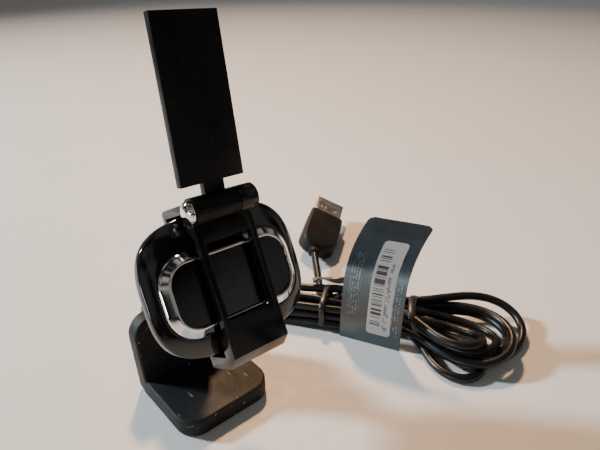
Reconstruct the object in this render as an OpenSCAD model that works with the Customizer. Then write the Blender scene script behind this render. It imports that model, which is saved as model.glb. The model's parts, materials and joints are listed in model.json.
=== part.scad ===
// Small webcam with a clip-on privacy shutter, a ball joint and an L-shaped
// rubber foot, with its USB lead tied in a hank beside it. Millimetres.
// The origin is the centre of the foot's underside: X right, Y back, Z up.
// Pieces of the head are drawn in the head's own frame: x right, y into the
// head, z up, from the centre of the bezel ring's front plane.

/* [Camera head] */
// Overall width of the head
head_w = 44.5; // [40:0.5:54]
// Overall height of the head
head_h = 34.4; // [31:0.2:42]
// Squareness of the outline, where 2 is an ellipse
outline_power = 3.1; // [2.6:0.1:4]
// How far the outline's centre stands above the lens
outline_rise = 1.2; // [0:0.1:2]
// Depth of the rim behind the ring's front plane
rim_depth = 3.2; // [3:0.1:4]
// Straight side of the front cover behind the rim
rim_band = 2.2; // [1.6:0.1:3]
// Depth of the whole head
head_depth = 22; // [21:0.5:27]
// Wall of the two covers
cover_wall = 1.4; // [1:0.1:1.8]

/* [Bezel ring and window] */
// Half width of the ring's front edge
ring_a = 17.1; // [14:0.1:17.4]
// Half height of the ring's front edge
ring_b = 8.3; // [7.5:0.1:9]
// How far the ring's sloping side spreads
ring_flare = 1.9; // [1:0.1:2]
// Depth of the ring's sloping side
ring_slope = 1.75; // [1.2:0.05:2]
// Width of the ring's front edge
ring_land = 0.6; // [0.4:0.05:1]
// Thickness of the window
window_t = 1; // [0.6:0.1:1.1]
// Depth of the window behind the ring's front edge
window_set = 0.7; // [0.4:0.1:0.8]

/* [Lens and board] */
// Outside radius of the lens barrel
barrel_r = 3.2; // [2.8:0.1:3.6]
// Depth of the board's front face
board_y = 15; // [14:0.2:15.4]
// Width of the board
board_w = 22; // [18:0.5:23]
// Height of the board
board_h = 14.5; // [13:0.5:15]

/* [Ball joint] */
// Distance from the ring's front plane back to the ball's centre
joint_reach = 35; // [34:0.5:42]
// Height of the lens above the stem's axis
joint_rise = 4.4; // [4:0.1:5]
// Radius of the ball
ball_r = 4.8; // [4.4:0.1:5.2]
// Radius of the stem
stem_r = 2.8; // [2.6:0.1:3]
// Wall of the cup around the ball
cup_wall = 1.8; // [1.6:0.1:2.2]
// Running clearance of the turning pieces
run_gap = 0.05; // [0.03:0.01:0.08]

/* [Pose at rest] */
// Head turned about the upright axis, in degrees
head_yaw = 3.7; // [-8:0.1:8]
// Head looking up, in degrees
head_tilt = 29.3; // [20:0.1:34]
// Head rolled about the stem, in degrees
head_roll = 5; // [-8:0.5:8]
// Shutter leaning forward of the head's face, in degrees
flap_lean = 13.7; // [0:0.1:20]

/* [Foot] */
// Width of the foot
foot_w = 29.2; // [26:0.2:36]
// Depth of the foot's plate
foot_d = 27.8; // [24:0.2:34]
// Thickness of the foot's plate
foot_t = 5.5; // [4.6:0.1:6.6]
// Height of the foot's wall
wall_h = 24.8; // [24:0.1:26]
// Thickness of the foot's wall
wall_t = 5; // [4.6:0.1:6]
// Backward lean of the wall, in degrees
wall_lean = 6.7; // [0:0.1:10]
// Corner radius of the plate and the wall
foot_corner = 6.2; // [4:0.1:8]
// Thickness of the steel insert
core_t = 1.4; // [1:0.1:1.6]

/* [Shutter clip] */
// Half width of the clip's front frame
clip_a = 8.2; // [7.6:0.1:9]
// Sideways place of the clip on the head
clip_x = 0.3; // [-1:0.1:1]
// Front of the clip ahead of the ring's front plane
clip_out = 2.2; // [1.8:0.1:2.6]
// Thickness of the frame's bars
clip_t = 1.9; // [1.4:0.1:2]
// Width of each upright rail
rail_w = 1.7; // [1.2:0.1:2.2]
// Height of the window's lower edge below the lens
sill_z = 8.5; // [8:0.1:9]
// Height of the window's upper edge above the lens
lintel_z = 10.7; // [10:0.1:11.2]
// Depth of the bridge over the head
bridge_d = 11.8; // [9:0.1:13]
// Radius of the hinge barrel
barrel_hinge_r = 3.35; // [3:0.05:3.5]
// Radius of the hinge pin
pin_r = 1.2; // [1:0.05:1.4]

/* [Shutter flap] */
// Length of the flap's plate
flap_l = 38.5; // [34:0.5:40]
// Width of the flap's plate
flap_w = 17.6; // [15:0.2:20]
// Thickness of the flap's plate
flap_t = 1.9; // [1.6:0.1:2.2]
// Width of the flap's neck
neck_w = 5.6; // [4:0.2:8]
// Distance from the hinge axis to the plate
neck_l = 5.8; // [5:0.1:7]

/* [Lead and plug] */
// Diameter of the lead
lead_d = 2.8; // [2.4:0.1:3.4]
// Width of the hank
hank_w = 15; // [12:0.5:18]
// Height of the hank
hank_h = 9.4; // [7:0.1:11.4]
// Length of the plug's overmould
mould_l = 26; // [22:0.5:30]
// Length of the plug's metal shell
shell_l = 11.8; // [11:0.1:12.4]
// Thickness of the tie straps
tie_t = 0.8; // [0.6:0.1:1.2]

/* [Hidden] */
$fn = 64;
black = [0.05, 0.05, 0.055];
gloss = [0.02, 0.02, 0.025];
soft_black = [0.12, 0.12, 0.125];
steel = [0.7, 0.7, 0.72];
bright = [0.85, 0.85, 0.87];
glass_tint = [0.05, 0.05, 0.06, 0.6];
lens_tint = [0.3, 0.32, 0.4, 0.5];
filter_tint = [0.6, 0.2, 0.25, 0.6];
sensor_tone = [0.15, 0.2, 0.18];
board_tone = [0.05, 0.25, 0.12];
chip_tone = [0.1, 0.1, 0.1];
lamp_tone = [0.7, 0.85, 0.75];
nylon_tone = [0.85, 0.82, 0.75];
tongue_tone = [0.9, 0.9, 0.9];
contact_tone = [0.8, 0.65, 0.3];
label_tone = [0.12, 0.16, 0.18];
sticker_tone = [0.85, 0.85, 0.84];
face_gap = 0.3;
// Length of a cutter that passes right through
through = 40;

// Foot
core_edge = 3;
core_back = 1.2;
tongue_t = 1.6;
tongue_front = core_back + core_t + tongue_t;
tongue_w = 10;
tongue_z = 6.5;
SOCKET_SCREW_Z = [9, 14];

// Ball joint
joint_y = foot_d / 2 + wall_h * tan(wall_lean) - wall_t - 0.5;
joint_z = wall_h + 1.9;
cup_r = ball_r + cup_wall;
cup_floor = ball_r + 1.3;
collar_r = cup_r + run_gap + 1.2;
collar_floor = cup_floor + face_gap;
collar_t = 1.3;
collar_base = collar_floor + collar_t;
collar_top = 3.6;
slot_a = stem_r + 0.5;
bore_r = lead_d / 2 + 0.25;
boot_drop = 30;
boot_r = 3.3;
snout_r = 4.4;
boot_start = (cup_r + 1 + boot_r * sin(boot_drop)) / cos(boot_drop);
boot_l = 8;
boot_end = boot_start + boot_l;
boot_ridge = 2.6;
snout_end = boot_start + boot_ridge;
screw_r = 1;
screw_head_r = 1.8;
screw_head_t = 0.8;
screw_reach = 6;
screw_bite = 0.4;
core_gap = 2.5;
pivot_head_r = 2.3;
pivot_head_t = 1.1;
pivot_room = 2.2;
pivot_room_r = 2.9;
cap_h = 2.8;
slot_side = 1.1;
slot_floor = 1.2;
slot_drop = 0.2;
boot_step = 0.5;
boot_thin = 0.8;
stem_root = 1.4;

// Head
head_a = head_w / 2;
head_b = head_h / 2;
side_end = rim_depth + rim_band;
seat_y = ring_slope + 0.85;
ring_base_a = ring_a + ring_flare;
ring_base_b = ring_b + ring_flare;
ring_corner = 5.7;
hole_a = ring_a - ring_land;
hole_b = ring_b - ring_land;
window_back = window_set + window_t;
tail_drop = 4.4;
// Depth share and width share of each level of the rear cover
REAR_SHAPE = [[0, 0.975], [0.18, 0.9], [0.42, 0.78], [0.66, 0.65], [0.84, 0.53], [0.95, 0.44], [1, 0.37]];
flange_r = 3.8;
flange_t = 1.4;
flange_y = head_depth - cover_wall - face_gap - flange_t;
retainer_t = 1.2;
retainer_y = flange_y - face_gap - retainer_t;
ear_x = 6.6;
ear_z = 1.6;
ear_r = 1.9;
ear_screw_r = 0.9;
ear_screw_l = 3.4;
ear_head_r = 1.5;
strap_drop = 1.4;
retainer_lap = 0.7;

// Lens, board and microphone
baffle_back = seat_y + 3.4;
holder_front = 9.5;
holder_a = 4.6;
barrel_front = window_back + 2.6;
barrel_wall = 1.5;
lens_r = barrel_r - 0.9;
board_t = 1;
board_screw_x = 5.9;
board_screw_r = 0.7;
board_screw_l = 2.9;
board_head_r = 1.2;
board_head_t = 0.6;
board_post_r = 1.5;
board_corner = 3.4;
barrel_seat = 2.5;
lens_seat = 1.2;
lens_dome_r = 4;
lens_edge = 0.2;
dome_steps = 10;
rear_lens_front = 0.6;
rear_lens_back = 0.8;
sensor_room = 3.4;
sensor_room_y = holder_front + 2.4;
FILTER = [5.2, 0.4, 5.2];
SENSOR = [5.6, 0.9, 5.2];
// Each chip's corner from the middle of the board's front face, and its size
CHIPS = [[[-7.8, board_t, 2.6], [4.6, 0.7, 4]], [[3.2, board_t, 2.6], [3.6, 0.7, 3.4]],
    [[-9.8, -0.6, -4], [2.2, 0.6, 2]]];
CRYSTAL = [2.2, 0.9, 3.2];
crystal_x = 7.8;
LAMP = [1.6, 0.8, 1];
lamp_x = 8.4;
lamp_z = 4.6;
BOARD_PLUG = [4.4, 1.5, 2.4];
board_plug_z = 3.2;
tail_t = 1.2;
tail_gap = 0.1;
tail_lap = 0.6;
lead_clear = 6;
BAFFLE_EDGE = [1.7, 1.5];
BAFFLE_STEP = [2.6, 0.75, 0.3, 0.8];
baffle_corner = 2.2;
MIC_X = -11.2;
MIC_SLOT_Z = [11.6, 13.1];
mic_x = MIC_X + 0.6;
mic_z = 11.6;
mic_y = side_end + 0.3;
mic_r = 1.6;
mic_wall = 0.5;
mic_l = 1.8;

// Clip and hinge
hinge_y = -clip_out + 0.1;
hinge_z = outline_rise + head_b + 0.1;
knuckle_split = clip_x + 4.35;
barrel_left = clip_x - clip_a + 0.4;
barrel_right = clip_x + 9.65;
block_z = outline_rise - head_b - 1.2;
hook_z = block_z - 2.7;
flap_back = 0.4;
pad_w = 12;
TOP_PAD = [pad_w, 2, 0.28];
CHIN_PAD = [pad_w, 1.6, 0.98];
top_pad_y = 3.2;
chin_pad_y = 3.8;
pad_lift = 0.02;
clip_floor = 0.2;
tab_h = 2.1;
cut_h = 9;
pin_head_r = 2.95;
pin_head_t = 1.7;
pin_dome_r = 3.6;

// Lead: the points of its free stretches and the line of its hank
lead_r = lead_d / 2;
tube_sides = 8;
// A direction that no stretch of the lead runs along
ASIDE = [0.13, 0.31, 0.94];
hank_from = [24, 38];
hank_to = [72, -28];
hank_z = tie_t;
exit_point = [0, joint_y + boot_end * cos(boot_drop), joint_z - boot_end * sin(boot_drop)];
LEAD_POINTS = [exit_point, exit_point + [0, 4, -2.8], exit_point + [0.3, 8.1, -6.2],
    exit_point + [1, 11.7, -10.2], [2.4, 42.3, 3.8], [5, 44.8, 1.9], [9, 46.4, 1.5], [14, 46, 1.7],
    [19.4, 42.4, 3.2]];
tie_from = [43, 71.6];
tie_w = 2.6;
// The loops that fan out past the second tie: two more circles of the hank's outline
FAN = [[[82, -38], 14], [[66, -43], 11]];

// Plug, from the front face of its overmould
plug_at = [90.8, 46, 7];
plug_heading = 37.5;
plug_rise = 4.5;
plug_roll = 24;
mould_a = 7.5;
mould_b = 3.8;
mould_front = 17;
shell_a = 6;
shell_b = 2.25;
shell_in = 8;
shell_wall = 0.3;
latch_x = 4.2;
latch_y = 2.7;
latch_w = 2.2;
latch_h = 5;
mould_neck = [3.8, 0.9];
mould_taper = [0.6, 0.3];
tongue_side = 0.5;
tongue_lift = 0.35;
tongue_short = 0.4;
contact_pitch = 2.25;
CONTACT = [shell_l - 1.8, 1.1, 0.2];
contact_sunk = 0.05;
mould_rear = plug_at - mould_l * [cos(plug_rise) * cos(plug_heading), cos(plug_rise) * sin(plug_heading),
    sin(plug_rise)];
PLUG_LEAD_POINTS = [[59.2, 1.9, 4.8], [62.2, 8, 4], [63.6, 12.3, 3.2], [64.8, 16.3, 2.6], [66, 20, 2.4],
    [67.2, 23.8, 2.8], [68.6, 27.2, 3.8], mould_rear];

// Flag label, standing beside the hank and curling over it: distance across the hank, then height
LABEL_PATH = [[0, 0.1], [0.2, 7], [1, 13], [3.4, 24], [8.2, 33], [14.5, 39.5]];
label_from = 51;
label_gap = 0.9;
label_turn = 10;
label_w = 20.5;
label_t = 0.5;
sticker_from = 10;
sticker_w = 6.5;
sticker_t = 0.15;

function sign_power(v, p) = sign(v) * pow(abs(v), p);
function squircle(a, b, rise = 0, power = outline_power, count = 48) =
    [for (i = [0 : count - 1]) let (t = 360 * i / count)
        [a * sign_power(cos(t), 2 / power), rise + b * sign_power(sin(t), 2 / power)]];
function round_rect(a, b, r, steps = 8) =
    [for (c = [0 : 3]) for (i = [0 : steps]) let (t = 90 * c + 90 * i / steps)
        [((c == 0 || c == 3) ? 1 : -1) * (a - r) + r * cos(t), (c < 2 ? 1 : -1) * (b - r) + r * sin(t)]];

// Frames that each group of pieces is drawn in
module at_joint() { translate([0, joint_y, joint_z]) children(); }
module at_pan() { at_joint() rotate([0, 0, head_yaw]) children(); }
module at_stem() { at_pan() rotate([-head_tilt, 0, 0]) children(); }
module at_head() {
    at_stem() rotate([0, head_roll, 0]) translate([0, -joint_reach, joint_rise]) children();
}
module at_wall() { translate([0, foot_d / 2, 0]) rotate([-wall_lean, 0, 0]) children(); }
module at_flap() { translate([0, hinge_y, hinge_z]) rotate([flap_lean, 0, 0]) children(); }
module at_boot() { at_joint() rotate([-boot_drop, 0, 0]) children(); }
module at_plug() {
    translate(plug_at) rotate([0, 0, plug_heading]) rotate([plug_roll, -plug_rise, 0]) children();
}
module along_hank(from_start) {
    run = hank_to - hank_from;
    translate([hank_from[0], hank_from[1], 0]) rotate([0, 0, atan2(run[1], run[0])])
        translate([from_start, 0, 0]) children();
}

// A rod along y, from one depth to another
module rod(r, from, to) { translate([0, from, 0]) rotate([-90, 0, 0]) cylinder(r = r, h = to - from); }
// A plate of any outline in x and z, from one depth to another
module plate(points, from, to) {
    translate([0, to, 0]) rotate([90, 0, 0]) linear_extrude(height = to - from) polygon(points);
}
// A closed skin through outlines at rising depths
module loft(levels) {
    k = len(levels[0][1]);
    m = len(levels);
    polyhedron(
        [for (l = levels) for (p = l[1]) [p[0], l[0], p[1]]],
        concat([[for (j = [k - 1 : -1 : 0]) j]],
            [for (i = [0 : m - 2]) for (j = [0 : k - 1]) each let (n = (j + 1) % k)
                [[i * k + j, i * k + n, (i + 1) * k + j],
                 [(i + 1) * k + j, i * k + n, (i + 1) * k + n]]],
            [[for (j = [0 : k - 1]) (m - 1) * k + j]]));
}
// A screw along y with its head at the low end
module screw(head_r, head_t, shank_r, length) {
    rod(head_r, 0, head_t);
    rod(shank_r, head_t, length);
}

// ---- Foot ----
module foot_outline(edge) {
    intersection() {
        translate([0, 0, -1]) linear_extrude(height = wall_h + 20)
            polygon(concat([for (p = round_rect(foot_w / 2 - edge, foot_d / 2 - edge, foot_corner))
                if (p[1] < 0) p], [[foot_w / 2 - edge, foot_d + 20], [-foot_w / 2 + edge, foot_d + 20]]));
        union() {
            translate([-foot_w, -foot_d / 2 + edge, edge])
                cube([2 * foot_w, foot_d - wall_t / 2 - edge, foot_t - 2 * edge]);
            intersection() {
                at_wall() translate([0, 0, -4]) plate([for (p = round_rect(foot_w / 2 - edge,
                    wall_h / 2 + 2 - edge, foot_corner)) [p[0], p[1] + wall_h / 2 + 2]],
                    -wall_t + edge, -edge);
                translate([-foot_w, -foot_d, edge]) cube([2 * foot_w, 3 * foot_d, 2 * wall_h]);
            }
        }
    }
}
module foot_cover() {
    color(soft_black) difference() {
        foot_outline(0);
        foot_core_solid();
        socket_space();
        socket_screw_solid();
    }
}
module foot_core_solid() {
    plate_z = foot_t / 2 - core_t / 2;
    translate([-foot_w / 2 + core_edge, -foot_d / 2 + core_edge, plate_z])
        cube([foot_w - 2 * core_edge, foot_d - core_edge - core_back - core_t / 2, core_t]);
    intersection() {
        at_wall() translate([-foot_w / 2 + core_edge, -core_back - core_t, -core_edge])
            cube([foot_w - 2 * core_edge, core_t, joint_z - collar_base + core_edge - core_gap]);
        translate([-foot_w, -foot_d, plate_z]) cube([2 * foot_w, 3 * foot_d, wall_h]);
    }
}
module foot_core() {
    color(steel) difference() {
        foot_core_solid();
        at_wall() for (z = SOCKET_SCREW_Z) translate([0, 0, z]) rod(screw_r, -screw_reach, 2);
    }
}
// The space that the cup's collar and tongue take out of the wall
module socket_space() {
    at_joint() translate([0, 0, -collar_base]) cylinder(r = collar_r, h = through);
    at_joint() translate([0, 0, -collar_base - pivot_room]) cylinder(r = pivot_room_r, h = 3);
    at_boot() rod(snout_r, 0, snout_end);
    tongue_solid();
}
module tongue_solid() {
    intersection() {
        at_wall() translate([-tongue_w / 2, -tongue_front, tongue_z]) cube([tongue_w, tongue_t, wall_h]);
        translate([-foot_w, -foot_d, 0])
            cube([2 * foot_w, 3 * foot_d, joint_z - collar_base + collar_t / 2]);
    }
}
module rear_cable_path(r) { at_boot() rod(r, 0, boot_end + 1); }
module socket_base() {
    color(black) difference() {
        union() {
            at_joint() translate([0, 0, -collar_base]) cylinder(r = collar_r, h = collar_base - collar_top);
            difference() {
                tongue_solid();
                at_joint() translate([0, 0, -collar_base - pivot_room])
                    cylinder(r = pivot_room_r, h = pivot_room);
            }
            at_boot() rod(snout_r, cup_r + boot_step, snout_end);
        }
        at_joint() translate([0, 0, -collar_floor]) cylinder(r = cup_r + run_gap, h = through);
        at_joint() translate([0, 0, -collar_base - 1]) cylinder(r = pin_r + run_gap, h = 4);
        at_boot() rod(boot_r, 2, snout_end + 1);
        at_wall() for (z = SOCKET_SCREW_Z) translate([0, 0, z]) {
            rod(screw_r, -screw_reach, 2);
            rod(screw_head_r, -screw_reach, -tongue_front + screw_head_t);
        }
    }
}
module socket_screw_solid() {
    at_wall() for (z = SOCKET_SCREW_Z) translate([0, -tongue_front, z])
        screw(screw_head_r, screw_head_t, screw_r, tongue_front - core_back + screw_bite);
}
module socket_screws() { color(steel) socket_screw_solid(); }
module cable_boot() {
    color(soft_black) difference() {
        union() {
            at_boot() rod(boot_r, boot_start, snout_end);
            at_boot() rod(boot_r - boot_step, snout_end, snout_end + boot_ridge);
            at_boot() rod(boot_r - boot_thin, snout_end + boot_ridge, boot_end);
        }
        rear_cable_path(lead_r);
    }
}
module boot_cable() { color(black) at_boot() rod(lead_r, boot_start, boot_end); }

// ---- Ball joint ----
module stem_slots() {
    translate([-slot_a, -through / 2, -slot_a - slot_drop])
        cube([2 * slot_a, through / 2, through / 2]);
    translate([-lead_r - slot_side, 0, -cup_floor + slot_floor])
        cube([lead_d + 2 * slot_side, through / 2, cup_floor + face_gap]);
}
module swivel_cup() {
    color(black) at_pan() difference() {
        translate([0, 0, -cup_floor]) cylinder(r = cup_r, h = cup_floor);
        sphere(r = ball_r + run_gap);
        stem_slots();
        translate([0, 0, -cup_floor - 1]) cylinder(r = pin_r, h = 2);
    }
}
module cup_cap() {
    color(black) at_pan() difference() {
        cylinder(r = cup_r, h = cap_h);
        sphere(r = ball_r + run_gap);
        stem_slots();
    }
}
module pivot_screw() {
    color(steel) at_pan() translate([0, 0, -collar_base - face_gap - pivot_head_t]) {
        cylinder(r = pivot_head_r, h = pivot_head_t);
        cylinder(r = pin_r, h = pivot_head_t + face_gap + collar_t + face_gap + 1);
    }
}
module ball_stem() {
    color(black) at_stem() difference() {
        union() {
            sphere(r = ball_r);
            rod(stem_r, -joint_reach + flange_y + flange_t / 2, -ball_r + stem_root);
            rod(flange_r, -joint_reach + flange_y, -joint_reach + flange_y + flange_t);
        }
        rod(bore_r, -joint_reach, joint_reach);
    }
}
module on_stem_axis() { translate([0, 0, -joint_rise]) children(); }
module at_ears() { on_stem_axis() for (s = [-1, 1]) translate([s * ear_x, 0, ear_z]) children(); }
module stem_retainer() {
    color(steel) at_head() difference() {
        union() {
            on_stem_axis() rod(flange_r + retainer_lap, retainer_y, retainer_y + retainer_t);
            at_ears() rod(ear_r, retainer_y, retainer_y + retainer_t);
            on_stem_axis() translate([-ear_x, retainer_y, ear_z - strap_drop])
                cube([2 * ear_x, retainer_t, 3]);
        }
        on_stem_axis() rod(bore_r, 0, head_depth);
        at_ears() rod(ear_screw_r, 0, head_depth);
    }
}
module retainer_screws() {
    color(steel) at_head() at_ears() translate([0, retainer_y - screw_head_t, 0])
        screw(ear_head_r, screw_head_t, ear_screw_r, ear_screw_l);
}

// ---- Head ----
function inner(size) = size - cover_wall;
function rear_level(y, share, rise) =
    [y, squircle(head_a * share, head_b * share, rise)];
function rear_y(f) = side_end + f * (head_depth - side_end);
function rear_rise(f) = outline_rise - tail_drop * f;
module front_skin() {
    loft([
        [ring_slope + 0.1, squircle(ring_base_a - 0.6, ring_base_b - 0.5, 0, 3.6)],
        [rim_depth - 1.05, squircle(head_a * 0.905, head_b * 0.78, outline_rise * 0.6, 3.3)],
        [rim_depth - 0.55, squircle(head_a * 0.96, head_b * 0.905, outline_rise)],
        [rim_depth - 0.15, squircle(head_a * 0.99, head_b * 0.98, outline_rise)],
        [rim_depth + 0.45, squircle(head_a, head_b, outline_rise)],
        [side_end, squircle(head_a, head_b, outline_rise)]]);
}
module front_cover() {
    color(gloss) at_head() difference() {
        front_skin();
        loft([[seat_y + 1.4, squircle(ring_base_a - 1.2, ring_base_b - 1.2, 0.5, 3.4)],
            [rim_depth + 1.6, squircle(inner(head_a) - 0.6, inner(head_b) - 0.6, outline_rise)],
            [side_end + 1, squircle(inner(head_a), inner(head_b), outline_rise)]]);
        plate(round_rect(ring_base_a, ring_base_b, ring_corner + ring_flare), -5, seat_y);
        plate(round_rect(hole_a - 0.9, hole_b - 0.9, ring_corner - 1.4), -5, side_end + 2);
        for (z = MIC_SLOT_Z) translate([MIC_X, 0, z]) mic_slot(-1, side_end);
    }
}
module mic_slot(from, to) {
    plate(round_rect(2.1, 0.45, 0.44, 4), from, to);
}
module rear_cover() {
    color(black) at_head() difference() {
        loft([for (s = REAR_SHAPE) rear_level(rear_y(s[0]), s[1], rear_rise(s[0]))]);
        difference() {
            loft([for (i = [0 : 4]) let (s = REAR_SHAPE[i])
                [rear_y(s[0]) - (i == 0 ? 0.5 : 0) + (i == 4 ? head_depth - cover_wall - rear_y(s[0]) : 0),
                 squircle(inner(head_a * s[1]) - (i == 4 ? 1.6 : 0),
                     inner(head_b * s[1]) - (i == 4 ? 1.6 : 0), rear_rise(s[0]))]]);
            at_ears() rod(ear_r - 0.2, retainer_y + retainer_t, head_depth);
        }
        on_stem_axis() rod(stem_r + run_gap, 10, head_depth + 2);
        on_stem_axis() rod(flange_r + face_gap, retainer_y, flange_y + flange_t + face_gap);
        at_ears() rod(ear_screw_r, 10, retainer_y + 2.7);
    }
}
module bezel_ring() {
    color(bright) at_head() difference() {
        loft([[0, round_rect(ring_a, ring_b, ring_corner)],
            [0.3, round_rect(ring_a + 0.25, ring_b + 0.25, ring_corner + 0.25)],
            [ring_slope, round_rect(ring_base_a, ring_base_b, ring_corner + ring_flare)],
            [seat_y, round_rect(ring_base_a, ring_base_b, ring_corner + ring_flare)]]);
        plate(round_rect(hole_a, hole_b, ring_corner - ring_land), -1, seat_y + 1);
    }
}
module window() {
    color(glass_tint) at_head()
        plate(round_rect(hole_a, hole_b, ring_corner - ring_land), window_set, window_back);
}
module lens_baffle() {
    color(black) at_head() difference() {
        union() {
            plate(round_rect(hole_a, hole_b, ring_corner - ring_land), window_back, seat_y);
            plate(round_rect(hole_a - 0.9, hole_b - 0.9, ring_corner - 1.4), seat_y, baffle_back);
        }
        for (i = [0 : 3])
            plate(round_rect(hole_a - BAFFLE_EDGE[0] - BAFFLE_STEP[0] * i,
                hole_b - BAFFLE_EDGE[1] - BAFFLE_STEP[1] * i,
                    ring_corner - baffle_corner - BAFFLE_STEP[2] * i),
                window_back - 1, window_back + 1 + BAFFLE_STEP[3] * i);
        rod(barrel_r + 0.1, 0, baffle_back + 1);
    }
}
module lens_barrel() {
    color(black) at_head() difference() {
        rod(barrel_r, barrel_front, holder_front + barrel_seat);
        rod(lens_r, barrel_front - 1, barrel_front + lens_seat);
        rod(barrel_r - barrel_wall, barrel_front, holder_front + 3);
    }
}
module front_lens() {
    color(lens_tint) at_head() translate([0, barrel_front + lens_seat, 0]) rotate([90, 0, 0])
        lens_element(lens_r, lens_dome_r);
}
module rear_lens() {
    color(lens_tint) at_head()
        rod(barrel_r - barrel_wall, holder_front - rear_lens_front, holder_front + rear_lens_back);
}
module infrared_filter() {
    color(filter_tint) at_head()
        translate([-FILTER[0] / 2, holder_front + barrel_seat, -FILTER[2] / 2]) cube(FILTER);
}
module at_board_screws() { for (s = [-1, 1]) translate([s * board_screw_x, 0, 0]) children(); }
module lens_holder() {
    color(black) at_head() difference() {
        union() {
            translate([-holder_a, holder_front, -holder_a])
                cube([2 * holder_a, board_y - holder_front, 2 * holder_a]);
            at_board_screws() rod(board_post_r, board_y - 2, board_y);
        }
        rod(barrel_r, holder_front - 1, holder_front + barrel_seat);
        translate([-sensor_room, sensor_room_y, -sensor_room])
            cube([2 * sensor_room, head_depth, 2 * sensor_room]);
        at_board_screws() rod(board_screw_r, 0, head_depth);
    }
}
module image_sensor() {
    color(sensor_tone) at_head() translate([-SENSOR[0] / 2, board_y - SENSOR[1], -SENSOR[2] / 2])
        cube(SENSOR);
}
module main_board() {
    color(board_tone) at_head() difference() {
        plate(round_rect(board_w / 2, board_h / 2, board_corner), board_y, board_y + board_t);
        at_board_screws() rod(board_screw_r, 0, head_depth);
    }
}
module board_chips() {
    color(chip_tone) at_head() for (chip = CHIPS) translate([0, board_y, 0] + chip[0]) cube(chip[1]);
}
module clock_crystal() {
    color(bright) at_head() translate([crystal_x, board_y - CRYSTAL[1], -CRYSTAL[2]]) cube(CRYSTAL);
}
module board_screws() {
    color(steel) at_head() at_board_screws() translate([0, board_y + board_t + board_head_t, 0])
        mirror([0, 1, 0]) screw(board_head_r, board_head_t, board_screw_r, board_screw_l);
}
module microphone_boot() {
    color(soft_black) at_head() translate([mic_x, 0, mic_z]) difference() {
        rod(mic_r + mic_wall, mic_y, mic_y + 2);
        rod(mic_r, mic_y + mic_wall, mic_y + 3);
    }
}
module microphone() {
    color(steel) at_head() translate([mic_x, 0, mic_z]) rod(mic_r, mic_y + mic_wall, mic_y + mic_l);
}
module status_lamp() {
    color(lamp_tone) at_head() translate([lamp_x, board_y - LAMP[1], lamp_z]) cube(LAMP);
}
module board_plug() {
    color(nylon_tone) at_head() translate([-BOARD_PLUG[0] / 2, board_y + board_t, board_plug_z])
        cube(BOARD_PLUG);
}
module inner_lead() {
    color(black) at_head() {
        difference() {
            union() {
                on_stem_axis() rod(lead_r, retainer_y - tail_lap, joint_reach);
                translate([-lead_r, board_y + board_t + tail_gap, -joint_rise - lead_r])
                    cube([lead_d, tail_t, joint_rise + lead_r + board_plug_z]);
            }
            translate([-lead_clear, board_y - 4, -lead_clear])
                cube([2 * lead_clear, 4 + board_t + run_gap, 2 * lead_clear]);
        }
    }
}

// A plano-convex lens that stands on its flat face, from its own radius and its dome's
module lens_element(r, dome_r) {
    sag = dome_r - sqrt(dome_r * dome_r - r * r);
    rotate_extrude() polygon(concat([[0, 0], [r, 0]],
        [for (i = [0 : dome_steps]) let (x = r * (1 - i / dome_steps))
            [x, lens_edge + sag - dome_r + sqrt(dome_r * dome_r - x * x)]]));
}

// ---- Shutter clip ----
module clip_profile() {
    // front bar, step under the ring, block, bottom plate and hook lip; then bridge and rear hook
    polygon([[-clip_out, block_z], [0.9, hook_z], [9.6, hook_z], [9.6, block_z + 1.3], [8.2, block_z + 1.3],
        [8.2, block_z + clip_floor], [seat_y - 0.9, block_z + clip_floor], [seat_y - 0.9,
            -ring_base_b - 1.3],
        [-clip_out + clip_t, -ring_base_b - 1.3], [-clip_out + clip_t, lintel_z + 1.6],
        [rim_depth - 1.7, lintel_z + 3.4], [rim_depth - 0.9, hinge_z - 3], [rim_depth - 0.9, hinge_z + 0.2],
        [bridge_d - 1.5, hinge_z + 0.2], [bridge_d - 1.5, hinge_z - 1.8], [bridge_d, hinge_z - 1.8],
        [bridge_d, hinge_z + 1.6], [bridge_d - 1.2, hinge_z + 2.3], [rim_depth - 1.7, hinge_z + 2.3],
        [-clip_out, hinge_z + 2.3]]);
}
module clip_frame() {
    color(black) at_head() difference() {
        union() {
            difference() {
                translate([clip_x - clip_a, 0, 0]) rotate([90, 0, 90])
                    linear_extrude(height = 2 * clip_a) clip_profile();
                translate([clip_x - clip_a - 1, hinge_y, hinge_z]) rotate([0, 90, 0])
                    cylinder(r = barrel_hinge_r + face_gap, h = 2 * clip_a + 2);
                translate([clip_x - clip_a - 1, -clip_out - cut_h, hinge_z - 2])
                    cube([2 * clip_a + 2, clip_out + cut_h + hinge_y, cut_h]);
            }
            translate([knuckle_split + face_gap, hinge_y, hinge_z]) rotate([0, 90, 0])
                cylinder(r = barrel_hinge_r, h = barrel_right - knuckle_split - face_gap);
            translate([knuckle_split + face_gap, hinge_y, hinge_z + clip_floor])
                cube([clip_x + clip_a - knuckle_split - face_gap, rim_depth + 1 - hinge_y, tab_h]);
            translate([knuckle_split + face_gap, -clip_out, lintel_z + 1])
                cube([clip_x + clip_a - knuckle_split - face_gap, clip_t, hinge_z - lintel_z - 3]);
        }
        translate([clip_x - clip_a + rail_w, -clip_out - 1, -sill_z])
            cube([2 * (clip_a - rail_w), clip_t + 2, sill_z + lintel_z]);
        translate([clip_x - through / 2, hinge_y, hinge_z]) rotate([0, 90, 0])
            cylinder(r = pin_r, h = through);
    }
}
module clip_pads() {
    color(soft_black) at_head() {
        translate([clip_x - pad_w / 2, top_pad_y, outline_rise + head_b + pad_lift]) cube(TOP_PAD);
        translate([clip_x - pad_w / 2, chin_pad_y, block_z + clip_floor]) cube(CHIN_PAD);
    }
}
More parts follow.
